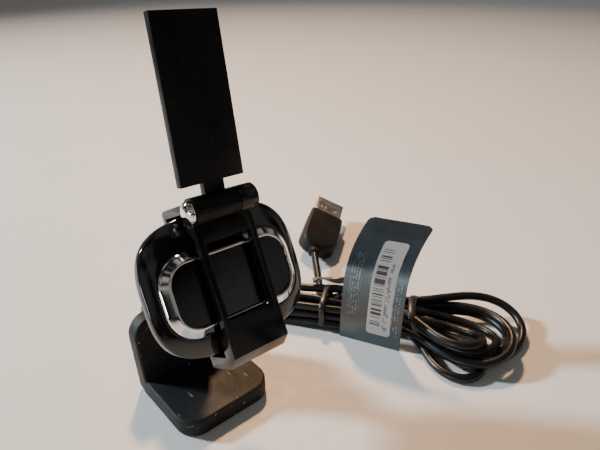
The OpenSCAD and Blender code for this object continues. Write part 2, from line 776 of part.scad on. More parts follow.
module hinge_pin() {
    color(bright) at_head() translate([0, hinge_y, hinge_z]) {
        translate([barrel_left - face_gap, 0, 0]) rotate([0, 90, 0])
            cylinder(r = pin_r, h = barrel_right - barrel_left + 2 * face_gap);
        intersection() {
            translate([barrel_left - face_gap - pin_head_t, 0, 0]) rotate([0, 90, 0])
                cylinder(r = pin_head_r, h = pin_head_t);
            translate([barrel_left - face_gap - pin_head_t + pin_dome_r, 0, 0]) sphere(r = pin_dome_r);
        }
    }
}

// ---- Shutter flap ----
module shutter_flap() {
    color(black) at_head() at_flap() difference() {
        union() {
            translate([clip_x - flap_w / 2, flap_back, neck_l]) cube([flap_w, flap_t, flap_l]);
            translate([clip_x - neck_w / 2, flap_back, 0]) cube([neck_w, flap_t, neck_l + 1]);
            translate([barrel_left, 0, 0]) rotate([0, 90, 0])
                cylinder(r = barrel_hinge_r, h = knuckle_split - barrel_left);
        }
        translate([-through / 2, 0, 0]) rotate([0, 90, 0]) cylinder(r = pin_r + run_gap, h = through);
    }
}

// ---- Lead, hank and plug ----
function unit(v) = v / norm(v);
function tangent(points, i) =
    unit(points[min(i + 1, len(points) - 1)] - points[max(i - 1, 0)]);
module tube(points, r) {
    k = tube_sides;
    n = len(points);
    rings = [for (i = [0 : n - 1])
        let (t = tangent(points, i), a = unit(cross(t, ASIDE)), b = cross(t, a))
        [for (j = [0 : k - 1]) points[i] + r * (cos(360 * j / k) * a + sin(360 * j / k) * b)]];
    polyhedron([for (ring = rings) for (p = ring) p],
        concat([[for (j = [0 : k - 1]) j]],
            [for (i = [0 : n - 2]) for (j = [0 : k - 1]) let (m = (j + 1) % k)
                [i * k + j, (i + 1) * k + j, (i + 1) * k + m, i * k + m]],
            [[for (j = [k - 1 : -1 : 0]) (n - 1) * k + j]]));
}
module cable_lead() { color(black) tube(LEAD_POINTS, lead_r); }
module plug_lead() { color(black) tube(PLUG_LEAD_POINTS, lead_r); }
module hank_outline() {
    hull() for (end = [hank_from, hank_to]) translate(end) circle(d = hank_w);
    hull() {
        translate(hank_to) circle(d = hank_w);
        for (loop = FAN) translate(loop[0]) circle(r = loop[1]);
    }
}
module cable_hank() {
    color(black) translate([0, 0, hank_z]) linear_extrude(height = hank_h) hank_outline();
}
module tie(from_start) {
    color(soft_black) along_hank(from_start) rotate([90, 0, 90])
        linear_extrude(height = tie_w) difference() {
            translate([-hank_w / 2 - tie_t, 0]) square([hank_w + 2 * tie_t, hank_h + 2 * tie_t]);
            translate([-hank_w / 2, tie_t]) square([hank_w, hank_h]);
        }
}
module tie_left() { tie(tie_from[0]); }
module tie_right() { tie(tie_from[1]); }
module plug_mould() {
    color(soft_black) at_plug() difference() {
        rotate([0, 0, -90]) loft([[-mould_l, round_rect(mould_a - mould_neck[0],
            mould_b - mould_neck[1], 2)],
            [-mould_front - 2, round_rect(mould_a - mould_taper[0], mould_b - mould_taper[1], 3)],
            [-mould_front, round_rect(mould_a, mould_b, 3)],
            [0, round_rect(mould_a - mould_taper[0] / 3, mould_b - mould_taper[1] / 3, 3)]]);
        translate([-shell_in, -shell_a, -shell_b]) cube([shell_in + 1, 2 * shell_a, 2 * shell_b]);
    }
}
module plug_shell() {
    color(bright) at_plug() difference() {
        translate([-shell_in, -shell_a, -shell_b])
            cube([shell_in + shell_l, 2 * shell_a, 2 * shell_b]);
        translate([-shell_in - 1, -shell_a + shell_wall, -shell_b + shell_wall])
            cube([shell_in + shell_l + 2, 2 * (shell_a - shell_wall), 2 * (shell_b - shell_wall)]);
        for (s = [-1, 1]) translate([latch_x, s * latch_y - latch_w / 2, 0])
            cube([latch_w, latch_w, latch_h]);
    }
}
module plug_tongue() {
    color(tongue_tone) at_plug()
        translate([-shell_in, tongue_side - shell_a, tongue_lift - shell_b])
            cube([shell_in + shell_l - tongue_short, 2 * (shell_a - tongue_side), shell_b - tongue_short]);
}
module plug_contacts() {
    color(contact_tone) at_plug() for (i = [-1.5 : 1 : 1.5])
        translate([tongue_side, i * contact_pitch - CONTACT[1] / 2, -contact_sunk]) cube(CONTACT);
}
module at_label(from_start) {
    along_hank(label_from) translate([0, -hank_w / 2 - label_gap, 0]) rotate([0, 0, -label_turn])
        translate([from_start, 0, 0]) children();
}
module flag_label() {
    color(label_tone) at_label(0) rotate([90, 0, 90])
        linear_extrude(height = label_w) ribbon(LABEL_PATH, label_t);
}
module ribbon(path, t) {
    polygon(concat([for (p = path) p], [for (i = [len(path) - 1 : -1 : 0]) path[i] + [-t, 0]]));
}
module label_sticker() {
    color(sticker_tone) at_label(sticker_from) translate([0, -label_t, 0]) rotate([90, 0, 90])
        linear_extrude(height = sticker_w) ribbon([for (i = [1 : 4]) LABEL_PATH[i]], sticker_t);
}

foot_cover();
foot_core();
socket_base();
socket_screws();
cable_boot();
boot_cable();
swivel_cup();
cup_cap();
pivot_screw();
ball_stem();
stem_retainer();
retainer_screws();
front_cover();
rear_cover();
bezel_ring();
window();
lens_baffle();
lens_barrel();
front_lens();
rear_lens();
infrared_filter();
lens_holder();
image_sensor();
main_board();
board_chips();
clock_crystal();
board_screws();
microphone();
microphone_boot();
status_lamp();
board_plug();
inner_lead();
clip_frame();
clip_pads();
hinge_pin();
shutter_flap();
cable_lead();
cable_hank();
plug_lead();
plug_mould();
plug_shell();
plug_tongue();
plug_contacts();
tie_left();
tie_right();
flag_label();
label_sticker();
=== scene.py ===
import json
import math
import bpy
import bmesh
import numpy as np
from mathutils import Matrix, Vector


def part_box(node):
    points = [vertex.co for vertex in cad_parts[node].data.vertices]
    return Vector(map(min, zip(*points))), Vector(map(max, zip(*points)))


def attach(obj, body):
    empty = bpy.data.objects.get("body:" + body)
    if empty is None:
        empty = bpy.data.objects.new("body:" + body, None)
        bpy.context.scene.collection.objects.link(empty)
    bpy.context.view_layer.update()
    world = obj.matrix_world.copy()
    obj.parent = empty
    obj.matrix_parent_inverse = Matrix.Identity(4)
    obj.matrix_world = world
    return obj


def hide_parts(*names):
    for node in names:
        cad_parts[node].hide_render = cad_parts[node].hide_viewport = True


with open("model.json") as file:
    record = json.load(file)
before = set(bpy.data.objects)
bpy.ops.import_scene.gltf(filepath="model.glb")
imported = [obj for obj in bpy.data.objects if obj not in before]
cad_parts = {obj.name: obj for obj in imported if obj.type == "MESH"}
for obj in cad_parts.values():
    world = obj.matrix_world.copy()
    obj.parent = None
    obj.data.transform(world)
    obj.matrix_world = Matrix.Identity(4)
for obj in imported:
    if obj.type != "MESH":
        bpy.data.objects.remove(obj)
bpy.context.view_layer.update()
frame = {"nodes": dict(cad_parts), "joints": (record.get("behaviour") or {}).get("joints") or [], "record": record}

# ---- Standpoint ----
# The camera stands to the left of the webcam and above it, as close as someone
# who looks down at it on a desk. Its distance and aim are in the object's own frame.
MM = 0.001
AIM = Vector((0.0554, 0.0213, 0.0273))
STAND_AZIMUTH = math.radians(-40.43)
STAND_HEIGHT = math.radians(28.98)
STAND_OFF = 0.20555
LEAN = math.radians(-0.57)
lens = bpy.data.cameras.new("standpoint")
lens.lens = 34.69
lens.sensor_width = 36
lens.clip_start = 0.005
stand = bpy.data.objects.new("standpoint", lens)
back = Vector((math.sin(STAND_AZIMUTH) * math.cos(STAND_HEIGHT),
               -math.cos(STAND_AZIMUTH) * math.cos(STAND_HEIGHT), math.sin(STAND_HEIGHT)))
across = Vector((math.cos(STAND_AZIMUTH), math.sin(STAND_AZIMUTH), 0))
upward = back.cross(across)
level = across * math.cos(LEAN) + upward * math.sin(LEAN)
plumb = upward * math.cos(LEAN) - across * math.sin(LEAN)
facing = Matrix((level, plumb, back)).transposed().to_4x4()
stand.matrix_world = Matrix.Translation(AIM + back * STAND_OFF) @ facing
bpy.context.scene.collection.objects.link(stand)
bpy.context.scene.camera = stand


# ---- Lead ----
# The lead is one smooth jacketed cord of 1.5 m. It leaves the joint through the rear boot,
# is folded into a hank of six turns under two ties, and ends in the plug behind it.
class Signal:
    """One shader value; Python's operators on it add Math nodes."""
    def __init__(self, finish, socket):
        self.finish, self.socket = finish, socket

    def math(self, operation, first, second=0.0):
        return self.finish.add("ShaderNodeMath", {"operation": operation}, {0: first, 1: second})

    def __add__(self, other): return self.math("ADD", self, other)
    def __radd__(self, other): return self.math("ADD", other, self)
    def __sub__(self, other): return self.math("SUBTRACT", self, other)
    def __rsub__(self, other): return self.math("SUBTRACT", other, self)
    def __mul__(self, other): return self.math("MULTIPLY", self, other)
    def __rmul__(self, other): return self.math("MULTIPLY", other, self)
    def __gt__(self, other): return self.math("GREATER_THAN", self, other)
    def __lt__(self, other): return self.math("LESS_THAN", self, other)


class Finish:
    """A material: fixed numbers on its shader, and what varies over the surface as nodes."""
    def __init__(self, name, **fixed):
        self.material = bpy.data.materials.new(name)
        self.material.use_nodes = True
        self.nodes = self.material.node_tree.nodes
        self.links = self.material.node_tree.links
        self.shader = self.nodes["Principled BSDF"]
        for label, value in fixed.items():
            self.shader.inputs[label.replace("_", " ")].default_value = value
        self.place = self.add("ShaderNodeTexCoord", {}, {}, "Object")
        self.sheet = self.add("ShaderNodeTexCoord", {}, {}, "UV")

    def add(self, kind, settings, sockets, output=0):
        node = self.nodes.new(kind)
        for name, value in settings.items():
            if name == "stops":
                while len(node.color_ramp.elements) < len(value):
                    node.color_ramp.elements.new(0.5)
                for element, (at, tone) in zip(node.color_ramp.elements, value):
                    element.position = at
                    element.color = tone if len(tone) == 4 else (*tone, 1)
            else:
                setattr(node, name, value)
        for key, value in sockets.items():
            if isinstance(value, Signal):
                self.links.new(value.socket, node.inputs[key])
            else:
                node.inputs[key].default_value = value
        return Signal(self, node.outputs[output])

    def cloud(self, size, detail=3.0, rough=0.55, squash=None):
        """Soft noise from 0 to 1, in patches of that size in metres."""
        place = self.place
        if squash:
            place = self.add("ShaderNodeMapping", {}, {"Vector": place, "Scale": squash})
        return self.add("ShaderNodeTexNoise", {}, {"Vector": place, "Scale": 1 / size,
                                                   "Detail": detail, "Roughness": rough})

    def between(self, value, low, high, out_low=0.0, out_high=1.0):
        return self.add("ShaderNodeMapRange", {}, {"Value": value, "From Min": low, "From Max": high,
                                                   "To Min": out_low, "To Max": out_high})

    def tint(self, mask, low, high):
        low = low if isinstance(low, Signal) else (*low, 1)
        high = high if isinstance(high, Signal) else (*high, 1)
        return self.add("ShaderNodeMix", {"data_type": "RGBA"}, {0: mask, 6: low, 7: high}, 2)

    def feed(self, label, value):
        self.links.new(value.socket, self.shader.inputs[label])

    def relief(self, height, depth, strength=1.0):
        bump = self.add("ShaderNodeBump", {}, {"Height": height, "Distance": depth, "Strength": strength})
        self.feed("Normal", bump)


def plain_finish(name, tone, rough, grain=0.0003, relief=0.00002, spread=0.25, dust=0.0, **fixed):
    """A moulded or coated surface: slightly uneven tone and gloss, fine grain, settled dust."""
    made = Finish(name, **fixed)
    patches = made.cloud(0.009)
    fine = made.cloud(grain, 2)
    darker = tuple(c * (1 - spread) for c in tone)
    lighter = tuple(min(1, c * (1 + spread)) for c in tone)
    colour = made.tint(patches, darker, lighter)
    if dust:
        motes = made.between(made.cloud(0.0007, 4, 0.7), 0.63, 0.72)
        films = made.between(made.cloud(0.014, 5), 0.4, 0.8)
        colour = made.tint(motes * (films * dust), colour, (0.3, 0.3, 0.31))
        colour = made.tint(films * (0.08 * dust), colour, (0.32, 0.32, 0.33))
    made.feed("Base Color", colour)
    made.feed("Roughness", made.between(patches, 0.3, 0.7, rough * 0.82, min(1, rough * 1.2)))
    made.relief(fine, relief)
    return made.material


def dress(obj, body, material, replaced=()):
    """Gives a finished piece its material, its body and the nodes it stands for."""
    obj.data.materials.clear()
    obj.data.materials.append(material)
    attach(obj, body)
    if replaced:
        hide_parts(*replaced)


LEAD_R = 1.4
LEAD_STEP = 3.2
ROUNDS = 240
HELD_FIRST = 15
HELD_LAST = 12
BEND_SHARE = 0.5
SINK = 0.004
PRESS_SHARE = 0.3
EVEN_SHARE = 0.25
NEIGHBOURS = 5
TIE_REACH = 3
MOULD_HALF_L = 13
HANK_FROM = Vector((24, 38, 0))
HANK_TO = Vector((72, -28, 0))
HANK_LINE = (HANK_TO - HANK_FROM).normalized()
HANK_SIDE = Vector((-HANK_LINE.y, HANK_LINE.x, 0))
TIE_AT = (44.3, 72.9)
HANK_HALF = 7.5
HANK_LOW = 0.8
HANK_TOP = 10.2
boot_low, boot_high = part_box("boot_cable")
plug_mount = next(m for m in frame["record"]["mounts"] if m["name"] == "usb_plug")
plug_axis = Vector(plug_mount["axis"])
mould_low, mould_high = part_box("plug_mould")
BOOT_TURN = math.radians(30)
exit_point = Vector((0, boot_high[1] / MM - LEAD_R / 2, boot_low[2] / MM + LEAD_R * math.cos(BOOT_TURN)))
LEAD_ROUTE = [(0, 31.5, 14.6), (0.3, 35.6, 11.2), (1, 39.2, 7.2), (2.4, 42.3, 3.8), (5, 44.8, 1.9),
              (9, 46.4, 1.5), (14, 46, 1.7), (19.4, 42.4, 3.2)]
PLUG_ROUTE = [(58, 2.8, 5.8), (60.4, 7.9, 4.4), (62.4, 13, 3.2), (63.9, 17.9, 2.4), (65.8, 23, 2.5),
              (68, 27.4, 3.6)]
# Where each turn opens past the second tie: along the hank, across it, and up
FANS = [[(84, 9, 9.6), (94, 13, 8.5), (103, 14, 7), (109, 11, 5.4), (110.5, 6, 4), (108.5, -1, 2.6),
         (105, -7, 1.8), (99, -12, 1.7), (91, -13, 1.7), (83, -10.5, 2)],
        [(85, 9.5, 7), (94, 8.6, 7), (100.5, 5.8, 7), (104.5, 0, 7), (105.6, -6, 7), (103.5, -12.5, 6.6),
         (98.5, -17.5, 6), (92, -18, 5.4), (84, -14.5, 4.5)],
        [(86, 10.5, 4.4), (94, 9.6, 4.5), (99.7, 7, 4.5), (103.2, 2.4, 4.5), (104.6, -3, 4.5),
         (103, -8.6, 4.4), (98.5, -13, 4.2), (92, -13.4, 4), (84, -10.5, 3.8)],
        [(84, 2, 5), (92, 2, 5), (98, 0, 5), (101.6, -4, 5.2), (101.5, -8.6, 5.6), (97, -13, 6.4),
         (90, -14.6, 7), (83, -12, 7.4)],
        [(84, -3, 1.8), (91, -5.5, 1.6), (95.5, -10, 1.6), (96, -16, 1.6), (93, -20.8, 1.6),
         (88.5, -22.5, 1.6), (82, -20.3, 1.6), (77, -16.5, 1.8)],
        [(82, -0.5, 5), (89, -2, 5), (95, -4.5, 5.4), (98, -8.4, 6.4), (96, -13, 7.2), (90, -15.5, 7.6),
         (83, -13.4, 7.8), (78, -8.6, 8.2)]]
FAR_LANES = [(5, 8.4), (5.2, 5.4), (5.4, 2.4), (1.8, 6.4), (1.8, 2.3), (1.9, 4.4)]
NEAR_LANES = [(-1.7, 2.3), (-5, 5.2), (-1.8, 5), (-4.4, 8.2), (-5.4, 2.3), (-1.2, 8.4)]
STATIONS = (20, 34, 44, 56, 66, 74)


def on_hank(s, p, z):
    return HANK_FROM + HANK_LINE * s + HANK_SIDE * p + Vector((0, 0, z))


def hank_turns():
    """The turns in order: out along the far lane, round the open loop, back along the near lane."""
    route = []
    for turn, fan in enumerate(FANS):
        far, far_z = FAR_LANES[turn]
        near, near_z = NEAR_LANES[turn]
        route += [on_hank(s, far, far_z) for s in STATIONS]
        route += [on_hank(*point) for point in fan]
        if turn == len(FANS) - 1:
            route += [on_hank(74, -1.4, 8.4), on_hank(66, -0.6, 8.8), on_hank(58, 0.4, 9),
                      on_hank(53, 1.4, 8.2)]
        else:
            next_z = FAR_LANES[turn + 1][1]
            route += [on_hank(s, near, near_z) for s in reversed(STATIONS)]
            route += [on_hank(6, -5.5, near_z), on_hank(-3, -8.2, (3 * near_z + next_z) / 4),
                      on_hank(-8.4, -3.4, (near_z + next_z) / 2), on_hank(-8.4, 3.4, (near_z + next_z) / 2),
                      on_hank(-3, 7.8, (near_z + 3 * next_z) / 4), on_hank(6, 5.5, next_z)]
    return route


def rounded_route(points, step):
    """A smooth line through the points, cut into equal steps."""
    p = np.array([tuple(q) for q in points], float)
    line = []
    for i in range(len(p) - 1):
        a, b, c, d = p[max(i - 1, 0)], p[i], p[i + 1], p[min(i + 2, len(p) - 1)]
        for t in np.arange(8) / 8:
            line.append(0.5 * (2 * b + (c - a) * t + (2 * a - 5 * b + 4 * c - d) * t ** 2
                               + (3 * b - a - 3 * c + d) * t ** 3))
    line = np.array(line + [p[-1]])
    run = np.r_[0, np.cumsum(np.linalg.norm(np.diff(line, axis=0), axis=1))]
    marks = np.linspace(0, run[-1], int(run[-1] / step) + 1)
    return np.stack([np.interp(marks, run, line[:, k]) for k in range(3)], 1)


def settle(line):
    """The strands press each other apart, sink to the table and keep inside the two ties."""
    order = np.arange(len(line))
    same = np.abs(order[:, None] - order[None]) < NEIGHBOURS
    pitch = np.linalg.norm(np.diff(line, axis=0), axis=1).mean()
    along = np.array(HANK_LINE[:2])
    side = np.array(HANK_SIDE[:2])
    for _ in range(ROUNDS):
        move = np.zeros_like(line)
        move[2:-2] = BEND_SHARE * ((4 * (line[1:-3] + line[3:-1]) - line[:-4] - line[4:]) / 6 - line[2:-2])
        move[:, 2] -= SINK
        gap = line[:, None] - line[None]
        far = np.sqrt((gap ** 2).sum(2)) + 1e-9
        press = np.where(same, 0, np.clip(2.02 * LEAD_R - far, 0, None))
        move += PRESS_SHARE * (gap / far[..., None] * press[..., None]).sum(1)
        move[:HELD_FIRST] = 0
        move[-HELD_LAST:] = 0
        line = line + move
        line[:, 2] = np.maximum(line[:, 2], LEAD_R + 0.03)
        s = (line[:, :2] - np.array(HANK_FROM[:2])) @ along
        p = (line[:, :2] - np.array(HANK_FROM[:2])) @ side
        for tie in TIE_AT:
            inside = np.abs(s - tie) < TIE_REACH
            spill = np.clip(np.abs(p) - HANK_HALF + LEAD_R, 0, None) * np.sign(p)
            line[inside, :2] -= (spill[:, None] * side)[inside]
            line[inside, 2] = np.clip(line[inside, 2], HANK_LOW + LEAD_R, HANK_TOP - LEAD_R)
        step = np.diff(line, axis=0)
        size = np.linalg.norm(step, axis=1)
        even = step / size[:, None] * ((size - pitch) * EVEN_SHARE)[:, None]
        line[1:-1] += even[1:] - even[:-1]
    return line


jacket = plain_finish("smooth_black_jacket", (0.007, 0.007, 0.0072), 0.34, 0.0009, 0.000004, 0.3, 0.1,
                      Specular_IOR_Level=0.36)
mould_rear = Vector(mould_low) + (Vector(mould_high) - Vector(mould_low)) / 2
mould_rear = mould_rear / MM - plug_axis * MOULD_HALF_L
route = [exit_point] + [Vector(q) for q in LEAD_ROUTE] + hank_turns()
route += [Vector(q) for q in PLUG_ROUTE] + [mould_rear]
settled = settle(rounded_route(route, LEAD_STEP))
lead_curve = bpy.data.curves.new("lead", "CURVE")
lead_curve.dimensions = "3D"
lead_curve.bevel_depth = LEAD_R * MM
lead_curve.bevel_resolution = 4
lead_curve.use_fill_caps = True
lead_curve.resolution_u = 2
strand = lead_curve.splines.new("NURBS")
strand.points.add(len(settled) - 1)
for point, place in zip(strand.points, settled):
    point.co = (*(place * MM), 1)
strand.order_u = 3
strand.use_endpoint_u = True
lead = bpy.data.objects.new("lead", lead_curve)
bpy.context.scene.collection.objects.link(lead)
dress(lead, "foot", jacket, ("cable_lead", "cable_hank", "plug_lead"))


# ---- Foot ----
# An L-shaped foot moulded in soft black rubber over a steel insert. The plate lies on
# the desk and the wall leans back to carry the ball joint. Dust and lint cling to it.
def baked(obj):
    """The object with its modifiers applied, as a plain mesh."""
    evaluated = obj.evaluated_get(bpy.context.evaluated_depsgraph_get())
    mesh = bpy.data.meshes.new_from_object(evaluated)
    obj.modifiers.clear()
    obj.data = mesh
    return obj


def eased(node, name, width, segments=2, angle=28.0):
    """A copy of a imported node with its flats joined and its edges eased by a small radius."""
    mesh = frame["nodes"][node].data.copy()
    obj = bpy.data.objects.new(name, mesh)
    bpy.context.scene.collection.objects.link(obj)
    work = bmesh.new()
    work.from_mesh(mesh)
    bmesh.ops.remove_doubles(work, verts=work.verts, dist=0.002 * MM)
    bmesh.ops.dissolve_limit(work, angle_limit=math.radians(1.2), verts=work.verts, edges=work.edges)
    work.to_mesh(mesh)
    work.free()
    bevel = obj.modifiers.new("ease", "BEVEL")
    bevel.width = width * MM
    bevel.segments = segments
    bevel.limit_method = "ANGLE"
    bevel.angle_limit = math.radians(angle)
    baked(obj)
    obj.data.shade_smooth()
    obj.data.set_sharp_from_angle(angle=math.radians(40))
    return obj


def foot_rubber():
    """Soft rubber: fine pebble, pale lint and specks."""
    made = Finish("soft_dusty_rubber", Specular_IOR_Level=0.28)
    body = made.cloud(0.008, 4)
    colour = made.tint(body, (0.005, 0.005, 0.0053), (0.01, 0.01, 0.0105))
    specks = made.between(made.cloud(0.00055, 3, 0.65), 0.665, 0.7)
    patches = made.between(made.cloud(0.012, 3), 0.42, 0.62)
    colour = made.tint(specks * (patches * 0.6), colour, (0.42, 0.41, 0.4))
    lint = made.between(made.cloud(0.0011, 2, 0.4, (1.0, 0.22, 1.0)), 0.7, 0.73)
    colour = made.tint(lint * 0.35, colour, (0.5, 0.49, 0.48))
    film = made.between(made.cloud(0.02, 5), 0.35, 0.75)
    colour = made.tint(film * 0.025, colour, (0.4, 0.4, 0.41))
    made.feed("Base Color", colour)
    made.feed("Roughness", made.between(body, 0.3, 0.7, 0.5, 0.66))
    made.relief(made.cloud(0.00022, 2) + made.cloud(0.0035, 3) * 3, 0.00002)
    return made.material


def softened(node, name, grid, rounds):
    """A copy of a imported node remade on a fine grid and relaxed, as rubber leaves its mould."""
    obj = eased(node, name, 0.02, 1)
    remake = obj.modifiers.new("remake", "REMESH")
    remake.mode = "VOXEL"
    remake.voxel_size = grid * MM
    relax = obj.modifiers.new("relax", "SMOOTH")
    relax.factor = 0.5
    relax.iterations = rounds
    baked(obj)
    obj.data.shade_smooth()
    return obj


rubber = foot_rubber()
dress(softened("foot_cover", "foot_rubber", 0.36, 14), "foot", rubber, ("foot_cover",))
plated = plain_finish("plated_steel", (0.55, 0.55, 0.57), 0.3, 0.0002, 0.000008, 0.15, Metallic=1.0)


def coat(node, material):
    """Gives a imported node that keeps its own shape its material."""
    frame["nodes"][node].data.materials.clear()
    frame["nodes"][node].data.materials.append(material)


for metal_node in ("foot_core", "socket_screws", "pivot_screw"):
    coat(metal_node, plated)
coat("boot_cable", jacket)


# ---- Ball joint ----
# A black cup turns on a steel screw in the socket at the top of the wall, and grips a
# polished ball on a hollow stem that runs forward into the head.
matte_black = plain_finish("matte_black_plastic", (0.018, 0.018, 0.019), 0.5, 0.00025, 0.00002, 0.2, 0.3)
gloss_black = plain_finish("polished_black_plastic", (0.006, 0.006, 0.007), 0.1, 0.0012, 0.000004, 0.2, 0.12,
                           Coat_Weight=0.4, Coat_Roughness=0.06)
dress(eased("socket_base", "joint_socket", 0.25), "foot", matte_black, ("socket_base",))
dress(eased("swivel_cup", "joint_cup", 0.2), "swivel", matte_black, ("swivel_cup",))
dress(eased("cup_cap", "joint_cap", 0.35, 3), "swivel", matte_black, ("cup_cap",))
dress(eased("ball_stem", "joint_ball", 0.2), "stem", gloss_black, ("ball_stem",))


# ---- Cable boot ----
# The boot is a short tapered sleeve of soft rubber with grooves that let it bend,
# pushed into the socket's snout where the lead leaves.
BOOT_RIBS = 6
BOOT_CREASE = 38


def new_piece(name, verts, faces, sharp):
    """A mesh with its faces turned outwards, smooth except at edges steeper than sharp degrees."""
    mesh = bpy.data.meshes.new(name)
    mesh.from_pydata([tuple(v) for v in verts], [], faces)
    mesh.validate()
    work = bmesh.new()
    work.from_mesh(mesh)
    bmesh.ops.recalc_face_normals(work, faces=work.faces)
    work.to_mesh(mesh)
    work.free()
    mesh.shade_smooth()
    mesh.set_sharp_from_angle(angle=math.radians(sharp))
    obj = bpy.data.objects.new(name, mesh)
    bpy.context.scene.collection.objects.link(obj)
    return obj


def turned(profile, count, place, name):
    """A solid of revolution about the local x axis from (distance, radius) pairs, closed at both ends."""
    verts, faces = [], []
    for x, r in profile:
        for k in range(count):
            t = 2 * math.pi * k / count
            verts.append(place @ Vector((x, r * math.cos(t), r * math.sin(t))))
    for i in range(len(profile) - 1):
        for k in range(count):
            n = (k + 1) % count
            faces.append((i * count + k, (i + 1) * count + k, (i + 1) * count + n, i * count + n))
    faces.append(tuple(range(count)))
    faces.append(tuple((len(profile) - 1) * count + k for k in reversed(range(count))))
    return new_piece(name, verts, faces, BOOT_CREASE)


joints = {j["name"]: j for j in frame["joints"]}
joint_centre = Vector(joints["head_pan"]["pos_m"])
boot_dir = Vector((0, math.cos(BOOT_TURN), -math.sin(BOOT_TURN)))
boot_place = Matrix.Translation(exit_point * MM) @ boot_dir.to_track_quat("X", "Z").to_matrix().to_4x4()
boot_profile = [(-7.6, 3.2), (-5.5, 3.2), (-5.2, 2.95), (-5.2, 2.35), (-0.2, 2), (-0.02, 1.85)]


def rib_row():
    """A node tree that adds a row of round ribs along x, each smaller than the one before."""
    tree = bpy.data.node_groups.new("rib_row", "GeometryNodeTree")
    tree.interface.new_socket("Geometry", in_out="INPUT", socket_type="NodeSocketGeometry")
    keys = {}
    for label, kind in (("Ribs", "Int"), ("Start", "Float"), ("Pitch", "Float"), ("Radius", "Float"),
                        ("Width", "Float"), ("Shrink", "Float"), ("Material", "Material")):
        socket = tree.interface.new_socket(label, in_out="INPUT", socket_type="NodeSocket" + kind)
        keys[label] = socket.identifier
    tree.interface.new_socket("Geometry", in_out="OUTPUT", socket_type="NodeSocketGeometry")

    def grow(kind, settings, sockets):
        node = tree.nodes.new(kind)
        for name, value in settings.items():
            setattr(node, name, value)
        for key, value in sockets.items():
            if isinstance(value, bpy.types.NodeSocket):
                tree.links.new(value, node.inputs[key])
            else:
                node.inputs[key].default_value = value
        return node.outputs[0]

    given = tree.nodes.new("NodeGroupInput").outputs
    start = grow("ShaderNodeCombineXYZ", {}, {"X": given["Start"]})
    pitch = grow("ShaderNodeCombineXYZ", {}, {"X": given["Pitch"]})
    row = grow("GeometryNodeMeshLine", {"mode": "OFFSET"},
               {"Count": given["Ribs"], "Start Location": start, "Offset": pitch})
    rib = grow("GeometryNodeMeshCylinder", {},
               {"Vertices": 48, "Radius": given["Radius"], "Depth": given["Width"]})
    order = grow("GeometryNodeInputIndex", {}, {})
    lost = grow("ShaderNodeMath", {"operation": "MULTIPLY"}, {0: order, 1: given["Shrink"]})
    size = grow("ShaderNodeMath", {"operation": "SUBTRACT"}, {0: 1.0, 1: lost})
    placed = grow("GeometryNodeInstanceOnPoints", {},
                  {"Points": row, "Instance": rib, "Rotation": (0, math.pi / 2, 0), "Scale": size})
    solid = grow("GeometryNodeRealizeInstances", {}, {"Geometry": placed})
    both = tree.nodes.new("GeometryNodeJoinGeometry")
    tree.links.new(solid, both.inputs[0])
    tree.links.new(given["Geometry"], both.inputs[0])
    done = grow("GeometryNodeSetMaterial", {}, {"Geometry": both.outputs[0], "Material": given["Material"]})
    tree.links.new(done, tree.nodes.new("NodeGroupOutput").inputs[0])
    return tree, keys


soft_black = plain_finish("soft_black_rubber", (0.016, 0.016, 0.017), 0.55, 0.0002, 0.00002, 0.2, 0.2)
boot = turned([(x * MM, r * MM) for x, r in boot_profile], 48, Matrix(), "cable_boot_sleeve")
ribs = boot.modifiers.new("ribs", "NODES")
ribs.node_group, rib_keys = rib_row()
for label, value in (("Ribs", BOOT_RIBS), ("Start", -4.75 * MM), ("Pitch", 0.82 * MM), ("Radius", 2.8 * MM),
                     ("Width", 0.42 * MM), ("Shrink", 0.035), ("Material", soft_black)):
    ribs[rib_keys[label]] = value
baked(boot)
boot.data.transform(boot_place)
boot.data.set_sharp_from_angle(angle=math.radians(BOOT_CREASE))
dress(boot, "foot", soft_black, ("cable_boot",))


# ---- Head covers ----
# The head is two moulded covers that meet behind a thin straight side band. The front one
# is polished black, and slopes back from the bezel to its rim.
head_x = Vector(joints["shutter_hinge"]["axis"]).normalized()
head_y = Vector(joints["head_twist"]["axis"]).normalized()
head_z = head_x.cross(head_y).normalized()
JOINT_REACH = 35
JOINT_RISE = 4.4
head_origin = joint_centre - head_y * JOINT_REACH * MM + head_z * JOINT_RISE * MM
head_turn = Matrix((head_x, head_y, head_z)).transposed().to_4x4()
head_place = Matrix.Translation(head_origin) @ head_turn @ Matrix.Scale(MM, 4)
HEAD_A = 22.25
HEAD_B = 17.2
OUTLINE = 3.1
RISE = 1.2
RIM = 3.2
SIDE_END = 5.4
RING_A = 17.1
RING_B = 8.3
RING_CORNER = 5.7
FLARE = 1.9
SLOPE = 1.75
SEAT = 2.6
AROUND = 160
WALL = 1.4
COVER_CREASE = 32


def egg(y, a, b, rise, power=OUTLINE):
    """One level of a cover: a squarish oval in the head's x and z, at depth y."""
    ring = []
    for k in range(AROUND):
        t = 2 * math.pi * (k + 0.5) / AROUND
        c, s = math.cos(t), math.sin(t)
        ring.append(Vector((a * math.copysign(abs(c) ** (2 / power), c), y,
                            rise + b * math.copysign(abs(s) ** (2 / power), s))))
    return ring


def oval(y, a, b, count=AROUND, x=0.0, z=0.0, start=0.0):
    """One round or oval level, at depth y, about the point x, z."""
    angles = [2 * math.pi * (k + start) / count for k in range(count)]
    return [Vector((x + a * math.cos(t), y, z + b * math.sin(t))) for t in angles]


